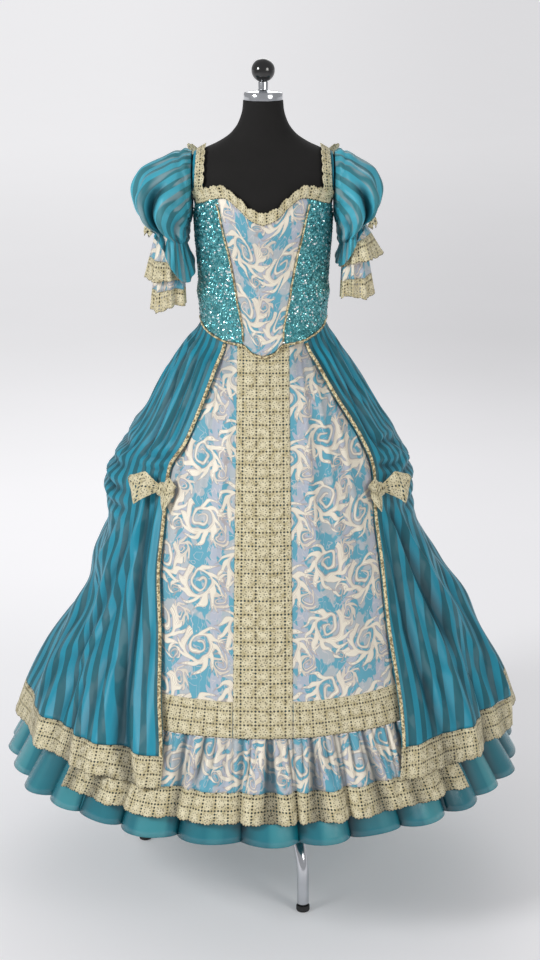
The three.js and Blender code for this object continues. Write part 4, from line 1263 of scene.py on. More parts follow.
def even_folds(turn, z, right_side, from_front, edge, radius, gap, share):
    """The overskirt's regular folds, in millimetres outwards: long ones that grow towards the hem
    and follow the front edge, the fan below each bow, the swag beside it, a dent under it, and
    the fine gathers at the waist."""
    from_edge = np.radians(from_front - edge) * radius
    side_fold = np.cos(from_edge / HEM_FOLD_WIDTH * TURN)
    side_fold = side_fold * ease(from_front, edge + 8, edge + 35) * ease(from_front, 110, 92)
    back_fold = np.cos(np.radians(turn * BACK_FOLDS)) * ease(from_front, 112, 132)
    hem_fold = HEM_FOLD_DEPTH * ease(z, 1000, 480) * (side_fold + back_fold)
    bow_turn = np.where(right_side, BOW_RIGHT, -BOW_LEFT)
    down = BOW_Z - z
    fan = np.cos((from_front - bow_turn) / between(9, 24, ease(down, 0, 560)) * TURN * 0.9)
    fan_fade = 1 - ease(from_front, bow_turn + 20, bow_turn + 60)
    fan_depth = FAN_DEPTH * ease(down, 20, 200) * fan_fade
    swag = SWAG_DEPTH * np.cos((z - 905) / 30 + from_front / 14) * ease(np.abs(down), 130, 40) * share
    near = np.exp(-(((from_front - bow_turn) / 22) ** 2) - (down / 95) ** 2)
    gathers = np.cos(np.radians(turn * 52 + 40 * np.sin(np.radians(turn * 7))))
    near_waist = ease(z, 960, 1150) * ease(from_front, edge + 1, edge + 10)
    gathers = (1 + gathers) * WAIST_GATHERS * near_waist
    return hem_fold + swag + fan * fan_depth * share - 0.45 * near * gap + gathers


def overskirt_point(turn, z, lift=0.0, creased=1.0):
    """The overskirt: between the core and its own outline, moved out by its folds and creases. A
    fold may go in only as far as there is room over the skirts below, and it is rounded off there.
    creased is 0 for the smooth cloth that the stripes are cut on."""
    right_side, from_front = front_distance(turn)
    edge = np.where(right_side, read(EDGES, "right", z), -read(EDGES, "left", z))
    left, right = read(OVERSKIRT, "left", z), read(OVERSKIRT, "right", z)
    own, other = np.where(right_side, right, left), np.where(right_side, left, right)
    outer = between(own, other, 0.5 * ease(from_front, 100, 180))
    share = ease(from_front, edge, edge + 45)
    core = core_section(z)
    bodice_edge = edge_height(BODICE_BOTTOM, turn)
    waist = ease(z, bodice_edge - 8, bodice_edge - 54)
    gap = between(ORGANZA_LIFT, read(OVERSKIRT, "gap", z), waist)
    section = {
        column: between(core[column] + ORGANZA_LIFT, between(core[column] + gap, outer, share), waist)
        for column in ("side", "front")
    }
    section["back"] = between(core["back"] + ORGANZA_LIFT, read(OVERSKIRT, "back", z), waist)
    folds = even_folds(turn, z, right_side, from_front, edge, own, gap, share)
    folds = creased * (folds + placed_creases(turn, z))
    # The layers below take 6.5 mm of the gap, and more over the cross bands and the flounces.
    over_bands, over_flounce = 2.5 * ease(z, 580, 540), 11 * ease(z, 480, 400)
    room = between(gap, outer - core["side"], share) - 6.5 - over_bands - over_flounce
    room = np.maximum(room, 0)
    folds = (folds - room + np.sqrt((folds + room) ** 2 + 9)) / 2
    return oval(section, turn, z, lift + folds * waist)


print("hem behind", overskirt_point(np.array([180.0]), np.array([OVERSKIRT_HEM])).round(1))

# %% Overskirt panels and their hem lace
FULLNESS_AT_WAIST, HALF_SEAM = 1.75, 0.06


def panel_spread(side, share, z):
    """The turn of a panel at a share of its width: the front ones follow their curved edges."""
    if side == "right":
        return between(read(EDGES, "right", z), BACK_START - HALF_SEAM, share)
    if side == "left":
        return between(360 - BACK_START + HALF_SEAM, 360 + read(EDGES, "left", z), share)
    return between(BACK_START + HALF_SEAM, 360 - BACK_START - HALF_SEAM, share)


def stripe_cut(points, z, origin):
    """The gore's cut, with the gathering at the waist let out: rows there hold more cloth than
    their length, as the stripes there are narrower."""
    cut = gore_cut(points, origin)
    cut[..., 0] *= between(1.0, FULLNESS_AT_WAIST, ease(z, 700, 1200))
    return cut


for side, columns, origin in (("right", 136, 0.0), ("back", 170, 0.5), ("left", 136, 1.0)):
    share, z = crossed((0, 1, columns), (OVERSKIRT_LACE_TOP + 0.6, SKIRT_TOP, 150))
    turn = panel_spread(side, share, z)
    hang(
        f"organza_{side}", overskirt_point(turn, z),
        stripe_cut(overskirt_point(turn, z, creased=0.0), z, origin), skirt_organza,
        f"overskirt_{side}",
        hollow=np.clip((1 - placed_creases(turn, z)) / 10, 0, 1),
    )
    share, z = crossed((0, 1, columns * 2), (OVERSKIRT_HEM, OVERSKIRT_LACE_TOP, 7))
    turn = panel_spread(side, share, z)
    points = overskirt_point(turn, z)
    cut = strip_cut(points)
    hang(
        f"organza_lace_{side}", scalloped(points, cut[..., 0], SCALLOP_DEPTH), cut, lace,
        f"overskirt_lace_{side}", cloth=1.4,
        hollow=np.clip((2 - placed_creases(turn, z)) / 11, 0, 1),
    )
    print("organza", side, CUTS[f"organza_{side}"], CUTS[f"organza_lace_{side}"])

# %% [markdown]
# ## Twisted braid and cord
# Gold braid is two or three strands laid round each other. Each strand is a tube whose middle line
# circles the path once per pitch, so the twist is real shape and catches light in beads.


# %% Tubes and twists
def around_line(line, outward):
    """Two directions square to a line at each of its points: out, near outward, and side."""
    forward = unit(np.gradient(line, axis=0))
    side = unit(np.cross(forward, outward))
    return np.cross(side, forward), side


def circle(corners, first, second):
    """Corners round each point: cos a times one direction plus sin a times the other."""
    angles = (np.arange(corners) * TURN / corners)[None, :, None]
    return np.cos(angles) * first[:, None] + np.sin(angles) * second[:, None]


def tube(centres, outward, radius, sides):
    """Rings round a line: at angle a, the centre plus radius * (cos a * out + sin a * side), where
    side is along cross out. Returns the points and the faces, with both ends closed."""
    out, side = around_line(centres, outward)
    rings = centres[:, None] + radius * circle(sides, out, side)
    faces = grid_faces(len(centres), sides, True)[0].tolist()
    last = (len(centres) - 1) * sides
    faces += [list(range(sides))[::-1], list(range(last, last + sides))]
    return rings.reshape(-1, 3), faces


def several(parts):
    """Joins lists of points and faces into one."""
    points, faces, count = [], [], 0
    for part_points, part_faces in parts:
        points.append(part_points)
        faces += [[corner + count for corner in face] for face in part_faces]
        count += len(part_points)
    return np.vstack(points), faces


def twist(path, outward, strand, pitch, strands=2, steps_a_turn=10, sides=6):
    """Strands round a path: each one's middle line is the path plus 0.92 of a strand's radius in a
    direction that turns once per pitch. The path is first spaced evenly along its length."""
    run = np.concatenate([[0], np.cumsum(np.linalg.norm(np.diff(path, axis=0), axis=1))])
    even = np.linspace(0, run[-1], max(12, round(run[-1] / pitch * steps_a_turn)))
    line = np.stack([np.interp(even, run, path[:, n]) for n in range(3)], axis=1)
    out = np.stack([np.interp(even, run, outward[:, n]) for n in range(3)], axis=1)
    out, side = around_line(line, out)
    parts = []
    for number in range(strands):
        angle = (even / pitch + number / strands) * TURN
        off = np.cos(angle)[:, None] * out + np.sin(angle)[:, None] * side
        parts.append(tube(line + 0.92 * strand * off, out, strand, sides))
    return several(parts)


LEVEL = np.array([1.0, 1.0, 0.0])  # takes the height out of a direction


def sew_braid(name, node, path, **twisting):
    """A gold braid along a path, twisted about the level direction away from the pole."""
    points, faces = twist(path, unit(path * LEVEL), **twisting)
    dress(new_piece(name, points, faces), gold, node)
    print(name, len(faces), "faces")


# %% Braid on the overskirt's front edges
BRAID_WIDTH = 7
for side, sign, base in (("right", 1, 0), ("left", -1, 360)):
    z = steps(OVERSKIRT_LACE_TOP + 1, 1211, 300)
    edge_turn = base + read(EDGES, side, z)
    turn = edge_turn + sign * np.degrees(BRAID_WIDTH / core_section(z)["side"]) * 0.5
    path = overskirt_point(turn, z, 3.7)
    three = dict(strand=2.1, pitch=15.0, strands=3, steps_a_turn=9, sides=5)
    sew_braid(f"edge_braid_{side}", f"front_braid_{side}", path, **three)

# %% [markdown]
# ## Lace bows
# Each bow is a wide strip of the same lace pinched in its middle and wrapped with a short band.
# A wing widens from the pinch to its middle and narrows to its tip, like a kite with its lowest
# corner down. On the skirt the wing that lies over the panel is the shorter one.


# %% Bows
BOW_WING = table(
    "far up low",
    [
        (0, 0.1, -0.1),
        (0.12, 0.15, -0.15),
        (0.5, 0.42, -0.5),
        (0.62, 0.38, -0.64),
        (1, 0.22, 0.0),
    ],
)
INNER_WING = 0.66


def bow_strip(centre, out, reach, spread, droop, outer):
    """Two wings: across u from -1 to 1, and between a wing's lower and upper edge, whose straight
    pieces make it a kite. A droop of |u| to the power 1.5 lowers it, and a curl lifts it outwards.
    outer is the sign of u on the longer wing, or 0 for two equal wings."""
    u, v = crossed((-1, 1, 72), (-1, 1, 26))
    sideways = unit(np.cross([0.0, 0.0, 1.0], out))
    up = np.cross(out, sideways)
    far = np.abs(u)
    low, high = (np.interp(far, BOW_WING["far"], BOW_WING[edge]) for edge in ("low", "up"))
    height = spread * between(low, high, (v + 1) / 2)
    crumple = 1.4 * np.sin(v * 9 + u * 4) * (1 - far) + 1.1 * np.sin(u * 13 + v * 3) * far
    curl = 1.2 + 9 * np.sin(math.pi * np.minimum(far, 0.85)) + 2.5 * np.cos(2.6 * v) * far + crumple
    curl = curl + reach * 0.5 * np.maximum(0, u * outer)
    length = np.where(u * outer < 0, INNER_WING, 1.0)
    points = centre + (u * reach * length)[..., None] * sideways
    points = points + (height - droop * far**1.5)[..., None] * up + curl[..., None] * out
    cut = np.stack([u * reach * 1.1, v * spread * 0.38], axis=-1) * MM
    return points, cut, sideways, up


def bow_knot(centre, out, sideways, up, half_width, half_height, half_depth):
    """A band wrapped round the pinch: an oval in the up and out directions, ribbed by its folds."""
    angle, across = np.meshgrid(np.arange(40) * TURN / 40, steps(-1, 1, 12))
    bulge = 1 - 0.22 * across**2 + 0.05 * np.cos(across * 9)
    points = centre + (across * half_width)[..., None] * sideways
    points = points + (half_height * bulge * np.cos(angle))[..., None] * up
    points = points + (half_depth * bulge * np.sin(angle) + 2)[..., None] * out
    round_band = np.arange(41) / 40 * 4 * half_height
    across_cut, along_cut = np.meshgrid(round_band, steps(0, 2 * half_width, 12))
    return points, np.stack([across_cut, along_cut], axis=-1) * MM


def tie_bow(name, node, centre, out, reach, spread, droop, outer=0):
    """The strip and the band round its pinch, both of lace."""
    points, cut, sideways, up = bow_strip(centre, out, reach, spread, droop, outer)
    hang(name, points, cut, lace, node, cloth=1.2)
    half_width = max(reach * 0.13, 5.1)
    knot, knot_cut = bow_knot(centre, out, sideways, up, half_width, spread * 0.2, reach * 0.1)
    hang(f"{name}_knot", knot, knot_cut, lace, node, closed=True)


# Each bow sits square to the cloth, which is measured 3 degrees and 30 mm to each side of it.
for side, bow_turn, rise in (("left", 362.4 + BOW_LEFT, 10), ("right", BOW_RIGHT, 0)):
    around = overskirt_point(np.array([bow_turn - 3, bow_turn + 3]), np.array([BOW_Z, BOW_Z]))
    upright = overskirt_point(np.array([bow_turn, bow_turn]), np.array([BOW_Z - 30, BOW_Z + 30]))
    out = unit(np.cross(around[1] - around[0], upright[1] - upright[0]))
    centre = overskirt_point(np.array([bow_turn]), np.array([BOW_Z + rise]))[0] + out * 5.3
    outer = 1 if side == "right" else -1
    tie_bow(
        f"skirt_bow_{side}", f"bow_{side}", centre, out, reach=64, spread=68, droop=3,
        outer=outer,
    )
print("bow cut", CUTS["skirt_bow_left"])

# %% [markdown]
# ## Bodice
# The boned bodice is close and smooth: a brocade stomacher in front, and four panels covered with
# sequins. A sequin is a small cupped disc of foil, sewn on so that each one leans its own way.
# Here each is a shallow cone of six faces, laid on a jittered lattice and tilted by seeded chance.


# %% Bodice panels
BODICE_EASE, OVER_SKIRTS = 0.9, 5.7


def bodice_point(turn, z, lift=0.0):
    """The core plus the bodice's ease, which is more over the skirts' tops and over the bust."""
    over_skirts = 1 - ease(z, SKIRT_TOP + 10, SKIRT_TOP + 50)
    over_bust = 3.4 * ease(z, 1390, 1440) * np.maximum(0, np.cos(np.radians(turn)))
    return core_point(turn, z, lift + BODICE_EASE + over_bust + OVER_SKIRTS * over_skirts)


def seam_turn(share):
    """The stomacher's seam, wider towards the neckline."""
    return between(16.5, 38, share)


def panel_place(start, end, u, v, lift=0.0):
    """A point of a bodice panel: u across it, between two seams, and v up it."""
    turn = between(start(v), end(v), u)
    z = between(edge_height(BODICE_BOTTOM, turn), edge_height(BODICE_TOP, turn), v)
    return bodice_point(turn, z, lift)


SIDE_SEAM, PANEL_GAP = 92, 0.14
SEQUIN_ROWS, SEQUIN_RADIUS = 68, 2.5
u, v = crossed((0, 1, 44), (0, 1, 54))
points = panel_place(lambda share: -seam_turn(share), seam_turn, u, v)
hang(
    "stomacher_panel", points, gore_cut(points, 0.5), brocade, "stomacher",
    cloth=2.0,
)
print("stomacher cut", CUTS["stomacher_panel"])

# %% Sequins
chance = np.random.default_rng(7)


def sequins(start, end, columns, rows, radius):
    """Points and faces of cupped discs, and a tint for each of their points, on a panel: a jittered
    lattice, with the cloth's normal from its two slopes, tilted by chance. Each has six points round a
    raised middle. The foil's finish paints a glint on those whose tint is near 1."""
    u, v = np.meshgrid((np.arange(columns) + 0.5) / columns, (np.arange(rows) + 0.5) / rows)
    u = u + ((np.arange(rows) % 2)[:, None] - 0.5) * 0.5 / columns
    u = np.clip(u + chance.normal(0, 0.22 / columns, u.shape), 0.006, 0.994).ravel()
    v = np.clip(v + chance.normal(0, 0.22 / rows, v.shape), 0.006, 0.994).ravel()
    lift = 2.3 + chance.uniform(0, 0.9, u.shape)
    middle = panel_place(start, end, u, v, lift)
    across = unit(panel_place(start, end, u + 0.004, v, lift) - middle)
    upward = panel_place(start, end, u, v + 0.004, lift) - middle
    normal = unit(np.cross(across, upward))
    tilt = chance.normal(0, 0.3, (len(u), 2))
    normal = unit(normal + tilt[:, :1] * across + tilt[:, 1:] * np.cross(normal, across))
    across = unit(np.cross(np.cross(normal, across), normal))
    size = radius * chance.uniform(0.8, 1.1, (len(u), 1, 1))
    rim = middle[:, None] + size * circle(6, across, np.cross(normal, across))
    points = np.concatenate([rim, (middle + normal * 0.45)[:, None]], axis=1)
    ring = np.arange(6)
    one = np.stack([ring, (ring + 1) % 6, np.full(6, 6)], axis=1)
    faces = (np.arange(len(u))[:, None, None] * 7 + one[None]).reshape(-1, 3)
    # Each sequin gets a random tint; the foil's finish paints a glint on those near 1.
    tints_and_glints = np.repeat(chance.uniform(0, 1, len(u)), 7)
    return points.reshape(-1, 3), faces, tints_and_glints


PANELS = {
    "front_right": (lambda share: seam_turn(share) + PANEL_GAP, lambda share: SIDE_SEAM - PANEL_GAP, 38),
    "front_left": (lambda share: PANEL_GAP - SIDE_SEAM, lambda share: -seam_turn(share) - PANEL_GAP, 38),
    "back_right": (lambda share: SIDE_SEAM + PANEL_GAP, lambda share: 180 - PANEL_GAP, 46),
    "back_left": (lambda share: 180 + PANEL_GAP, lambda share: 360 - SIDE_SEAM - PANEL_GAP, 46),
}
for side, (start, end, columns) in PANELS.items():
    u, v = crossed((0, 1, 32), (0, 1, 40))
    points = panel_place(start, end, u, v)
    hang(
        f"sequin_panel_{side}", points, gore_cut(points, 0.5), bodice_cloth, f"bodice_{side}",
        cloth=1.8,
    )
    points, faces, tints_and_glints = sequins(start, end, columns, SEQUIN_ROWS, SEQUIN_RADIUS)
    scatter = new_piece(f"sequins_{side}", points, faces, smooth=False)
    keep_values(scatter, "tint", tints_and_glints)
    dress(scatter, sequin_foil, f"bodice_{side}")
    print(side, "sequins", len(tints_and_glints) // 7)

# %% Seam braid and the cord under the point
for side, sign in (("left", -1), ("right", 1)):
    share = steps(0, 1, 200)
    turn = sign * seam_turn(share)
    low_z, high_z = edge_height(BODICE_BOTTOM, turn), edge_height(BODICE_TOP, turn)
    path = bodice_point(turn, between(low_z, high_z, between(0.02, 0.95, share)), 4.2)
    sew_braid(f"seam_braid_{side}", f"stomacher_braid_{side}", path, strand=1.05, pitch=6.0)
turn = steps(-88, 88, 260)
path = bodice_point(turn, edge_height(BODICE_BOTTOM, turn) - 2.8, 2.8)
sew_braid("waist_cord", "bodice_cord", path, strand=1.3, pitch=8.0)

# %% [markdown]
# ## Straps and neckline lace
# Over the shoulder the form is cut by an upright plane, so a strap's height is where the form is
# exactly that wide. The lace along the neckline ripples as it goes round the curve.

# %% Straps and lace at the neck
SHOULDER_Z = np.linspace(1556, 1697, 600)
SHOULDER_SIDE = read(FORM, "side", SHOULDER_Z)


def shoulder_point(x, around, lift, start_height, end_height=None):
    """Over the shoulder at a constant x: around 0 in front, 0.5 on the crest, 1 behind. The height
    rises by a sine to where the form is |x| wide, and the depth is that of the form's oval."""
    end_height = start_height if end_height is None else end_height
    crest = np.interp(-np.abs(x), -SHOULDER_SIDE, SHOULDER_Z)
    foot = np.where(around < 0.5, start_height, end_height)
    z = between(foot, crest, np.sin(math.pi * around))
    side = read(FORM, "side", z)
    depth = np.where(around < 0.5, -read(FORM, "front", z), read(FORM, "back", z))
    y = depth * np.sqrt(np.maximum(0, 1 - (x / side) ** 2))
    level = np.sin(math.pi * around) ** 2
    sideways = unit(np.stack([x / side**2, y / depth**2], axis=-1)) * (1 - level)[..., None]
    out = unit(np.concatenate([sideways, level[..., None]], axis=-1))
    return np.stack([x, y, z], axis=-1) + out * np.asarray(lift)[..., None]


STRAP_INNER, STRAP_OUTER = 121, 142
for side, sign in (("left", -1), ("right", 1)):
    inner, outer = (STRAP_INNER, STRAP_OUTER) if sign > 0 else (-STRAP_OUTER, -STRAP_INNER)
    x, around = crossed((inner, outer, 14), (0, 1, 60))
    points = shoulder_point(x, around, np.full(x.shape, 3.0), 1514, 1519)
    hang(
        f"shoulder_strap_{side}", points, strip_cut(points), skirt_organza, f"strap_{side}",
        cloth=1.2,
    )
    share, around = crossed((1, 0, 12) if sign > 0 else (0, 1, 12), (0, 0.56, 110))
    run = lengths(shoulder_point(np.full(around.shape, 127.0), around, 5.0, 1505), 0)
    wave = notch(run, 0.019) * 3.5 * ease(share, 0.55, 1)
    x = sign * (between(STRAP_OUTER - 6, STRAP_INNER - 4, share) + wave)
    ripple = 1.5 * (1 + np.cos(run * TURN / 0.012)) * share
    lift = between(8, 5.6, ease(around, 0, 0.16)) + ripple * 0.6
    points = shoulder_point(x, around, lift, 1505)
    cut = np.stack([share * 0.026, run * 1.1], axis=-1)
    hang(
        f"strap_lace_{side}", points, cut, lace, "neck_lace_front",
        cloth=1.2,
    )
print("strap cut", CUTS["shoulder_strap_left"])

# %% Lace along the neckline
NECK_LACE, NECK_REACH, NECK_SCALLOPS = 26, 64, 17
turn, share = crossed((-NECK_REACH, NECK_REACH, 340), (0, 1, 7))
scallop = 5 * notch(turn, 2 * NECK_REACH / NECK_SCALLOPS) * ease(share, 0.6, 1)
height = edge_height(BODICE_TOP, turn) - 5 + share * NECK_LACE - scallop
ripple = share * (1.6 + 1.4 * np.cos(np.radians(turn * 34)) + 0.7 * np.cos(np.radians(turn * 57)))
points = bodice_point(turn, height, 3.5 + ripple)
hang(
    "neckline_lace", points, strip_cut(points), lace, "neck_lace_front",
    cloth=1.2,
)
# Behind, the lace stands off the neckline and fans out into a wing over each shoulder.
turn, share = crossed((112, 248, 280), (0, 1, 7))
from_side = ease(np.abs(turn - 180), 66, 36)
rest_z = between(1593, 1530, from_side)
base = core_point(turn, rest_z, between(7.9, 3.4, from_side))
out = unit(base * np.array([1.0, 0.9, 0.0]))
stand_out = 2 * share * between(0.35, 1, ease(np.abs(turn - 180), 70, 56))
scallop = 5 * notch(turn - 112, 136 / 12) * ease(share, 0.6, 1)
ripple = 1.2 * np.cos(np.radians(turn * 31)) * share
points = base + out * (stand_out * between(14, 3, from_side) + ripple)[..., None]
points[..., 2] += stand_out * between(10, 12, from_side) + 2.5 * share - scallop
hang(
    "back_neck_lace", points, strip_cut(points), lace, "neck_lace_back",
    cloth=1.2,
)
print("neck lace cuts", CUTS["neckline_lace"], CUTS["back_neck_lace"])

# %% [markdown]
# ## Sleeves
# Each sleeve is a puff of striped organza, gathered at the shoulder and caught up on the outer
# side, so it hangs lowest at its inner front. Two brocade frills with lace edges fall below it.
# The puff is an oval in the upright plane of the arm that swells and shrinks along its length.

# %% Sleeve shapes
SLEEVE = table(
    "u outX outZ inX inZ depth forward",
    [
        (0, 147.8, 1594, 147, 1462, 45, 0),
        (0.12, 163, 1597, 151, 1450, 70, 2),
        (0.3, 205, 1580, 154, 1440, 88, 5),
        (0.48, 249, 1554, 155, 1432, 95, 8),
        (0.65, 266, 1510, 156, 1424, 92, 10),
        (0.82, 252, 1466, 158, 1416, 80, 12),
        (1, 222, 1436, 162, 1408, 54, 14),
    ],
)
SLEEVE_SETS = {
    "left": dict(
        sign=-1, pairs=19, reach=1.0, raised=0, bow_lift=8.8, drape=72, flare=1.0, upper=1.0, lower=1.0
    ),
    "right": dict(
        sign=1, pairs=16, reach=0.77, raised=17, bow_lift=11, drape=40, flare=1.7, upper=0.68, lower=0.9
    ),
}


def ring_point(arm, u, around):
    """A point of a sleeve's ring: 0 degrees is the outer side, 90 the front, 180 the inner side."""
    at = {name: read(SLEEVE, name, u, key="u") for name in SLEEVE if name != "u"}
    out_x = between(at["inX"], at["outX"], arm["reach"])
    out_z = at["outZ"] + arm["raised"] * ease(u, 0.6, 1)
    cosine, sine = np.cos(np.radians(around)), np.sin(np.radians(around))
    x = arm["sign"] * ((out_x + at["inX"]) / 2 + (out_x - at["inX"]) / 2 * cosine)
    z = (out_z + at["inZ"]) / 2 + (out_z - at["inZ"]) / 2 * cosine
    return np.stack(np.broadcast_arrays(x, -at["forward"] - at["depth"] * sine, z), axis=-1)


def near_turn(around, centre, width):
    """1 at an angle, falling smoothly to 0 that many degrees away."""
    off = np.abs((around - centre + 540) % 360 - 180)
    return 1 - ease(off, 0, width)


print("sleeve rings", len(SLEEVE["u"]))

# %% The puff's surface
SLEEVE_CREASES = table(
    "around first last wander depth width",
    [
        (66, 0.28, 1.1, 8, 22, 12),
        (40, 0.45, 1.0, -6, 6, 8),
        (96, 0.2, 0.9, 4, 5, 8),
        (122, 0.25, 1.25, 3, 7, 9),
        (150, 0.4, 1.25, -4, 6, 9),
        (20, 0.5, 1.0, 6, 7, 10),
        (-8, 0.35, 0.9, -5, 5, 9),
        (-40, 0.45, 1.0, 5, 7, 10),
        (-75, 0.3, 1.0, -6, 8, 12),
        (-110, 0.35, 1.1, 4, 6, 10),
        (-145, 0.3, 1.2, 3, 7, 11),
    ],
)


def sleeve_creases(u, around):
    """Troughs that run down the sleeve: each wanders sideways by its own number of degrees."""
    total = np.zeros(u.shape)
    for middle, first, last, wander, depth, width in rows_of(SLEEVE_CREASES):
        share = np.clip((u - first) / (last - first), 0, 1)
        off = (around - middle - wander * share + 540) % 360 - 180
        fade = ease(share, 0, 0.3) * (1 - 0.6 * ease(share, 0.8, 1)) * (u > first)
        total -= depth * trough(off, width) * fade
    return total


def puff_point(arm, u, around, creases=1.0):
    """The puff: its ring moved out by eight soft pleats, finer gathers at both ends, sagging folds,
    dents, the charted creases and the groove of the cap's seam, each in millimetres. Beyond u = 1
    the hem falls and flares, most at the inner front."""
    inside = np.minimum(u, 1)
    point = ring_point(arm, inside, around)
    centre = (ring_point(arm, inside, around + 180) + point) / 2
    out = unit(point - centre)
    pleat = 2.6 * np.cos(np.radians(around * 8)) * ease(u, 0, 0.15) * (1 - 0.4 * ease(u, 0.6, 1))
    wander = around + 9 * np.sin(u * 7 + np.radians(around * 2))
    gathers = np.cos(np.radians(wander * 19)) * (1.6 * ease(u, 0.5, 0.1) + 1.5 * ease(u, 0.62, 0.95))
    sag = 2.6 * np.cos(np.radians(wander * 5 + 60)) * ease(u, 0.15, 0.45) * ease(u, 1.05, 0.7)
    dents = 1.8 * np.sin(u * 16 + np.radians(wander * 6)) * ease(u, 0.2, 0.5) * ease(u, 0.95, 0.7)
    cap = -5 * np.exp(-(((u - 0.16 - 0.02 * np.sin(np.radians(around * 3))) / 0.035) ** 2))
    small = gathers + sag + dents + sleeve_creases(u, around) + cap
    point = point + out * (pleat + creases * small * ease(u, 0, 0.08))[..., None]
    fall = np.maximum(u - 1, 0) / 0.3
    low = near_turn(around, 128, 95)
    point = point + out * (fall * between(12, arm["drape"] / 3 + 6, low))[..., None]
    point[..., 2] -= fall * between(7, arm["drape"], low)
    return point


print("sleeve creases", len(SLEEVE_CREASES["around"]))


# %% Frills
WAVES_ROUND = 8


def frill_point(arm, wave, share, tier):
    """A frill: it starts just inside the caught up ring, drops by its fall and flares by waves that
    grow towards the hem."""
    around = wave / WAVES_ROUND * 360
    top = puff_point(arm, np.ones_like(around), around, creases=0.0)
    centre = (ring_point(arm, 1.0, 0.0) + ring_point(arm, 1.0, 180.0)) / 2
    out = unit(top - centre)
    level = unit(out * LEVEL)
    depth = (0.8 + 0.3 * np.sin(wave * 2.7)) * np.cos(TURN * wave)
    small = 0.35 * np.cos(TURN * wave * 2 + 1.2 * np.sin(wave * 1.9))
    outer = near_turn(around, 20, 110)
    flare = between(tier["flare_in"], tier["flare_out"] * arm["flare"], outer)
    flare = flare + tier["flare_front"] * near_turn(around, 128, 60)
    point = top - out * tier["inset"]
    point = point + level * (share * (flare + tier["wave"] * (depth + small)))[..., None]
    drop = share * tier["fall"] * between(0.78, 1, outer)
    point[..., 1] -= 0.07 * drop
    point[..., 2] += 3 - drop
    return point


# %% Sleeves
FRILLS = {
    "upper": dict(inset=3.2, fall=54, flare_in=2, flare_out=24, flare_front=5, wave=4.5),
    "lower": dict(inset=6.8, fall=120, flare_in=0, flare_out=14, flare_front=15, wave=5.5),
}
FRILL_LACE = 50
RING_COLUMNS = 160


def column_order(values, sign):
    """Columns run towards rising angles round the pole, which differs between the two arms."""
    return values if sign < 0 else values[::-1]


for side, arm in SLEEVE_SETS.items():
    ring = np.arange(RING_COLUMNS) * 360 / RING_COLUMNS
    around, u = np.meshgrid(column_order(ring, arm["sign"]), steps(1.3, 0, 64))
    points = puff_point(arm, u, around)
    run = lengths(points, 0).mean(axis=1)
    width = steps(0, arm["pairs"] * STRIPE_PAIR, RING_COLUMNS)
    cut = np.stack(np.meshgrid(width, run), axis=-1)
    hang(
        f"sleeve_puff_{side}", points, cut, sleeve_organza, f"oversleeve_{side}",
        cloth=1.2, closed=True,
        hollow=np.clip((1 - sleeve_creases(u, around)) / 11, 0, 1),
    )
    for tier_name, tier in FRILLS.items():
        whole = (tier["fall"] + FRILL_LACE) * arm[tier_name]
        lace_share = 1 - FRILL_LACE * 0.9 / whole
        full = {**tier, "fall": whole}
        waves = np.arange(RING_COLUMNS) * WAVES_ROUND / RING_COLUMNS
        for kind, first, last, rows, finish in (
            ("frill", lace_share, 0.0, 12, brocade),
            ("frill_lace", 1.0, lace_share + 0.004, 8, lace),
        ):
            wave, share = np.meshgrid(column_order(waves, arm["sign"]), steps(first, last, rows))
            points = frill_point(arm, wave, share, full)
            around_cut = lengths(np.concatenate([points, points[:, :1]], axis=1), 1)[0]
            along_cut = lengths(points, 0).mean(axis=1)
            cut = np.stack(np.meshgrid(around_cut * 1.1, along_cut), axis=-1)
            if finish is lace:
                points = scalloped(points, cut[:, :-1, 0], 4.0)
            hang(
                f"{kind}_{tier_name}_of_{side}_sleeve", points, cut, finish,
                f"{kind}_{tier_name}_{side}", closed=True,
            )
    caught = puff_point(arm, np.array([0.98]), np.array([20.0]), creases=0.0)[0]
    out = unit(np.array([arm["sign"] * 0.85, -0.35, 0.1]))
    centre = caught + out * arm["bow_lift"]
    tie_bow(
        f"cuff_bow_{side}", f"sleeve_bow_{side}", centre, out, reach=20, spread=22, droop=5,
    )
    print("sleeve", side, CUTS[f"sleeve_puff_{side}"], CUTS[f"frill_lower_of_{side}_sleeve"])

# %% [markdown]
# ## Dress form and stand
# The form is a padded torso in jersey on a chrome pole. Its sections are read from the same table
# as the bodice, at many more heights, so that its shoulders are round. The metal is turned: a
# profile goes round the pole, and a small bevel takes the sharpness off each edge.


# %% Closed and turned bodies
def closed_body(rings):
    """Rings of points from the bottom up, joined, with a fan of faces at each end."""
    rows, columns = rings.shape[:2]
    faces = grid_faces(rows, columns, True)[0].tolist()
    ends = np.stack([rings[0].mean(axis=0), rings[-1].mean(axis=0)])
    ring = np.arange(columns)
    following = (ring + 1) % columns
    low, high = rows * columns, rows * columns + 1
    faces += np.stack([following, ring, np.full(columns, low)], axis=1).tolist()
    last = (rows - 1) * columns
    faces += np.stack([last + ring, last + following, np.full(columns, high)], axis=1).tolist()
    return np.vstack([rings.reshape(-1, 3), ends]), faces


def turned(name, profile, finish, node, centre=(0, 0), bevel=0.8):
    """A profile of radius and height carried round an upright axis."""
    angles = np.arange(64) * TURN / 64
    radius, height = np.array(profile, float).T
    x = centre[0] + radius[:, None] * np.sin(angles)
    y = centre[1] - radius[:, None] * np.cos(angles)
    rings = np.stack(np.broadcast_arrays(x, y, height[:, None]), axis=-1)
    piece = new_piece(name, *closed_body(rings))
    if bevel:
        edge = piece.modifiers.new("soft_edge", "BEVEL")
        edge.width = bevel * MM
        edge.segments = 3
        edge.limit_method = "ANGLE"
        edge.angle_limit = math.radians(35)
    dress(piece, finish, node)


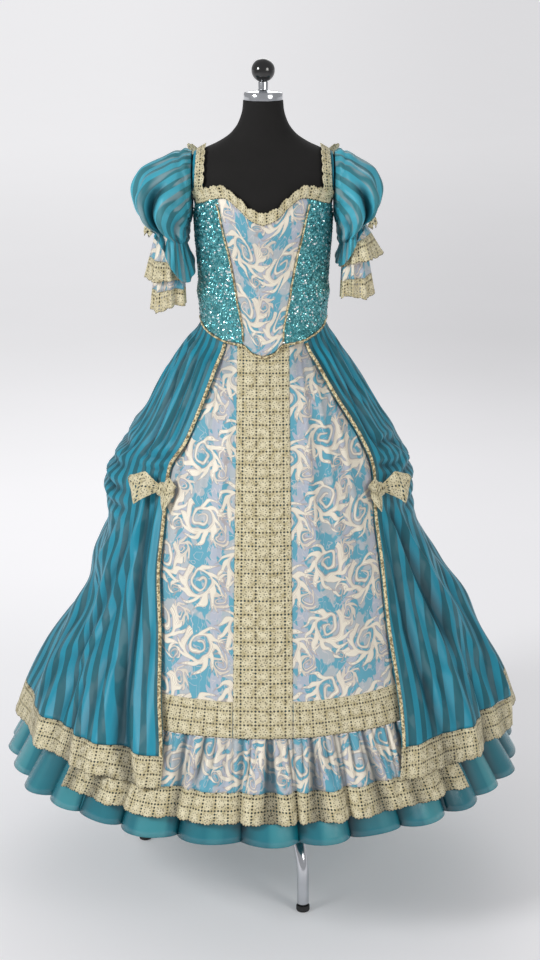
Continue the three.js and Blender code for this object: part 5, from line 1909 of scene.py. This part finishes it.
# %% Torso
TORSO_COLUMNS = 96
heights = np.unique(np.concatenate([steps(985, 1540, 46), steps(1540, 1697, 44)]))
turn, z = np.meshgrid(np.arange(TORSO_COLUMNS) * 360 / TORSO_COLUMNS, heights)
section = {column: read(FORM, column, z) for column in ("side", "front", "back")}
torso = new_piece("torso", *closed_body(oval(section, turn, z, 0.0)))
dress(torso, jersey, "form_torso")
print("torso", len(torso.data.vertices), "points")

# %% Neck cap and ball knob
NECK_TOP, STEM_TOP = 1697.3, 1733.8
turned(
    "neck_cap_turned",
    [
        (39.2, NECK_TOP),
        (40, NECK_TOP + 0.8),
        (40, NECK_TOP + 12),
        (39, NECK_TOP + 14.5),
        (36.5, NECK_TOP + 16.6),
        (14, NECK_TOP + 18.4),
        (11.4, NECK_TOP + 19.6),
        (10, NECK_TOP + 21.5),
        (10, STEM_TOP),
    ],
    chrome,
    "neck_cap",
    bevel=0.3,
)
KNOB = 24
knob_base = math.acos(0.93)  # the ball is cut off flat where it meets the stem
knob_z = STEM_TOP + 0.5 + KNOB * math.cos(knob_base)
arc = steps(-math.pi / 2 + knob_base, math.pi / 2 - 0.03, 40)
knob_profile = [(KNOB * math.cos(a), knob_z + KNOB * math.sin(a)) for a in arc]
turned("ball_knob_turned", knob_profile, knob_gloss, "ball_knob", bevel=0)
print("knob's middle at", round(knob_z, 1))

# %% Pole
HUB, HUB_RADIUS, POLE_RADIUS = 272, 30, 16
turned(
    "pole_turned",
    [
        (HUB_RADIUS - 4, HUB - 32),
        (HUB_RADIUS, HUB - 28),
        (HUB_RADIUS, HUB + 28),
        (HUB_RADIUS - 4, HUB + 32),
        (POLE_RADIUS + 0.01, HUB + 32.01),
        (POLE_RADIUS, 984.7),
    ],
    chrome,
    "pole",
)
print("hub at", HUB)

# %% Legs and feet
# A leg rises from its foot, bends inwards on an arc and runs straight to the hub.
LEG_TURNS, LEG_RADIUS, FOOT_SPREAD, GLIDE = (17.5, 137.5, -102.5), 12.5, 283, 14
BEND_RADIUS, BEND_START, BEND_ANGLE = 100, 72, 60
for number, turn in enumerate(LEG_TURNS):
    bend = np.radians(steps(0, BEND_ANGLE, 28))
    far = FOOT_SPREAD - BEND_RADIUS * (1 - np.cos(bend))
    up = BEND_START + BEND_RADIUS * np.sin(bend)
    inward = HUB_RADIUS + 6.2
    rise = (far[-1] - inward) / math.tan(math.radians(BEND_ANGLE))
    slope = steps(0, 1, 12)[1:]
    far = np.concatenate([np.full(6, FOOT_SPREAD), far, between(far[-1], inward, slope)])
    up = np.concatenate([between(GLIDE, BEND_START, np.arange(6) / 6), up, up[-1] + rise * slope])
    angle = math.radians(turn)
    line = np.stack([far * math.sin(angle), -far * math.cos(angle), up], axis=1)
    across = np.broadcast_to([math.cos(angle), math.sin(angle), 0.0], line.shape)
    leg = new_piece(f"leg_{number + 1}_tube", *tube(line, across, LEG_RADIUS, 32))
    dress(leg, chrome, f"leg_{number + 1}")
    turned(
        f"foot_{number + 1}_glide",
        [(11.5, 0), (13.6, 1.2), (14.5, 3.4), (14.5, 10.6), (13.6, GLIDE - 0.3)],
        rubber,
        f"foot_{number + 1}",
        centre=(FOOT_SPREAD * math.sin(angle), -FOOT_SPREAD * math.cos(angle)),
        bevel=0.4,
    )
print("stand done")

# %% [markdown]
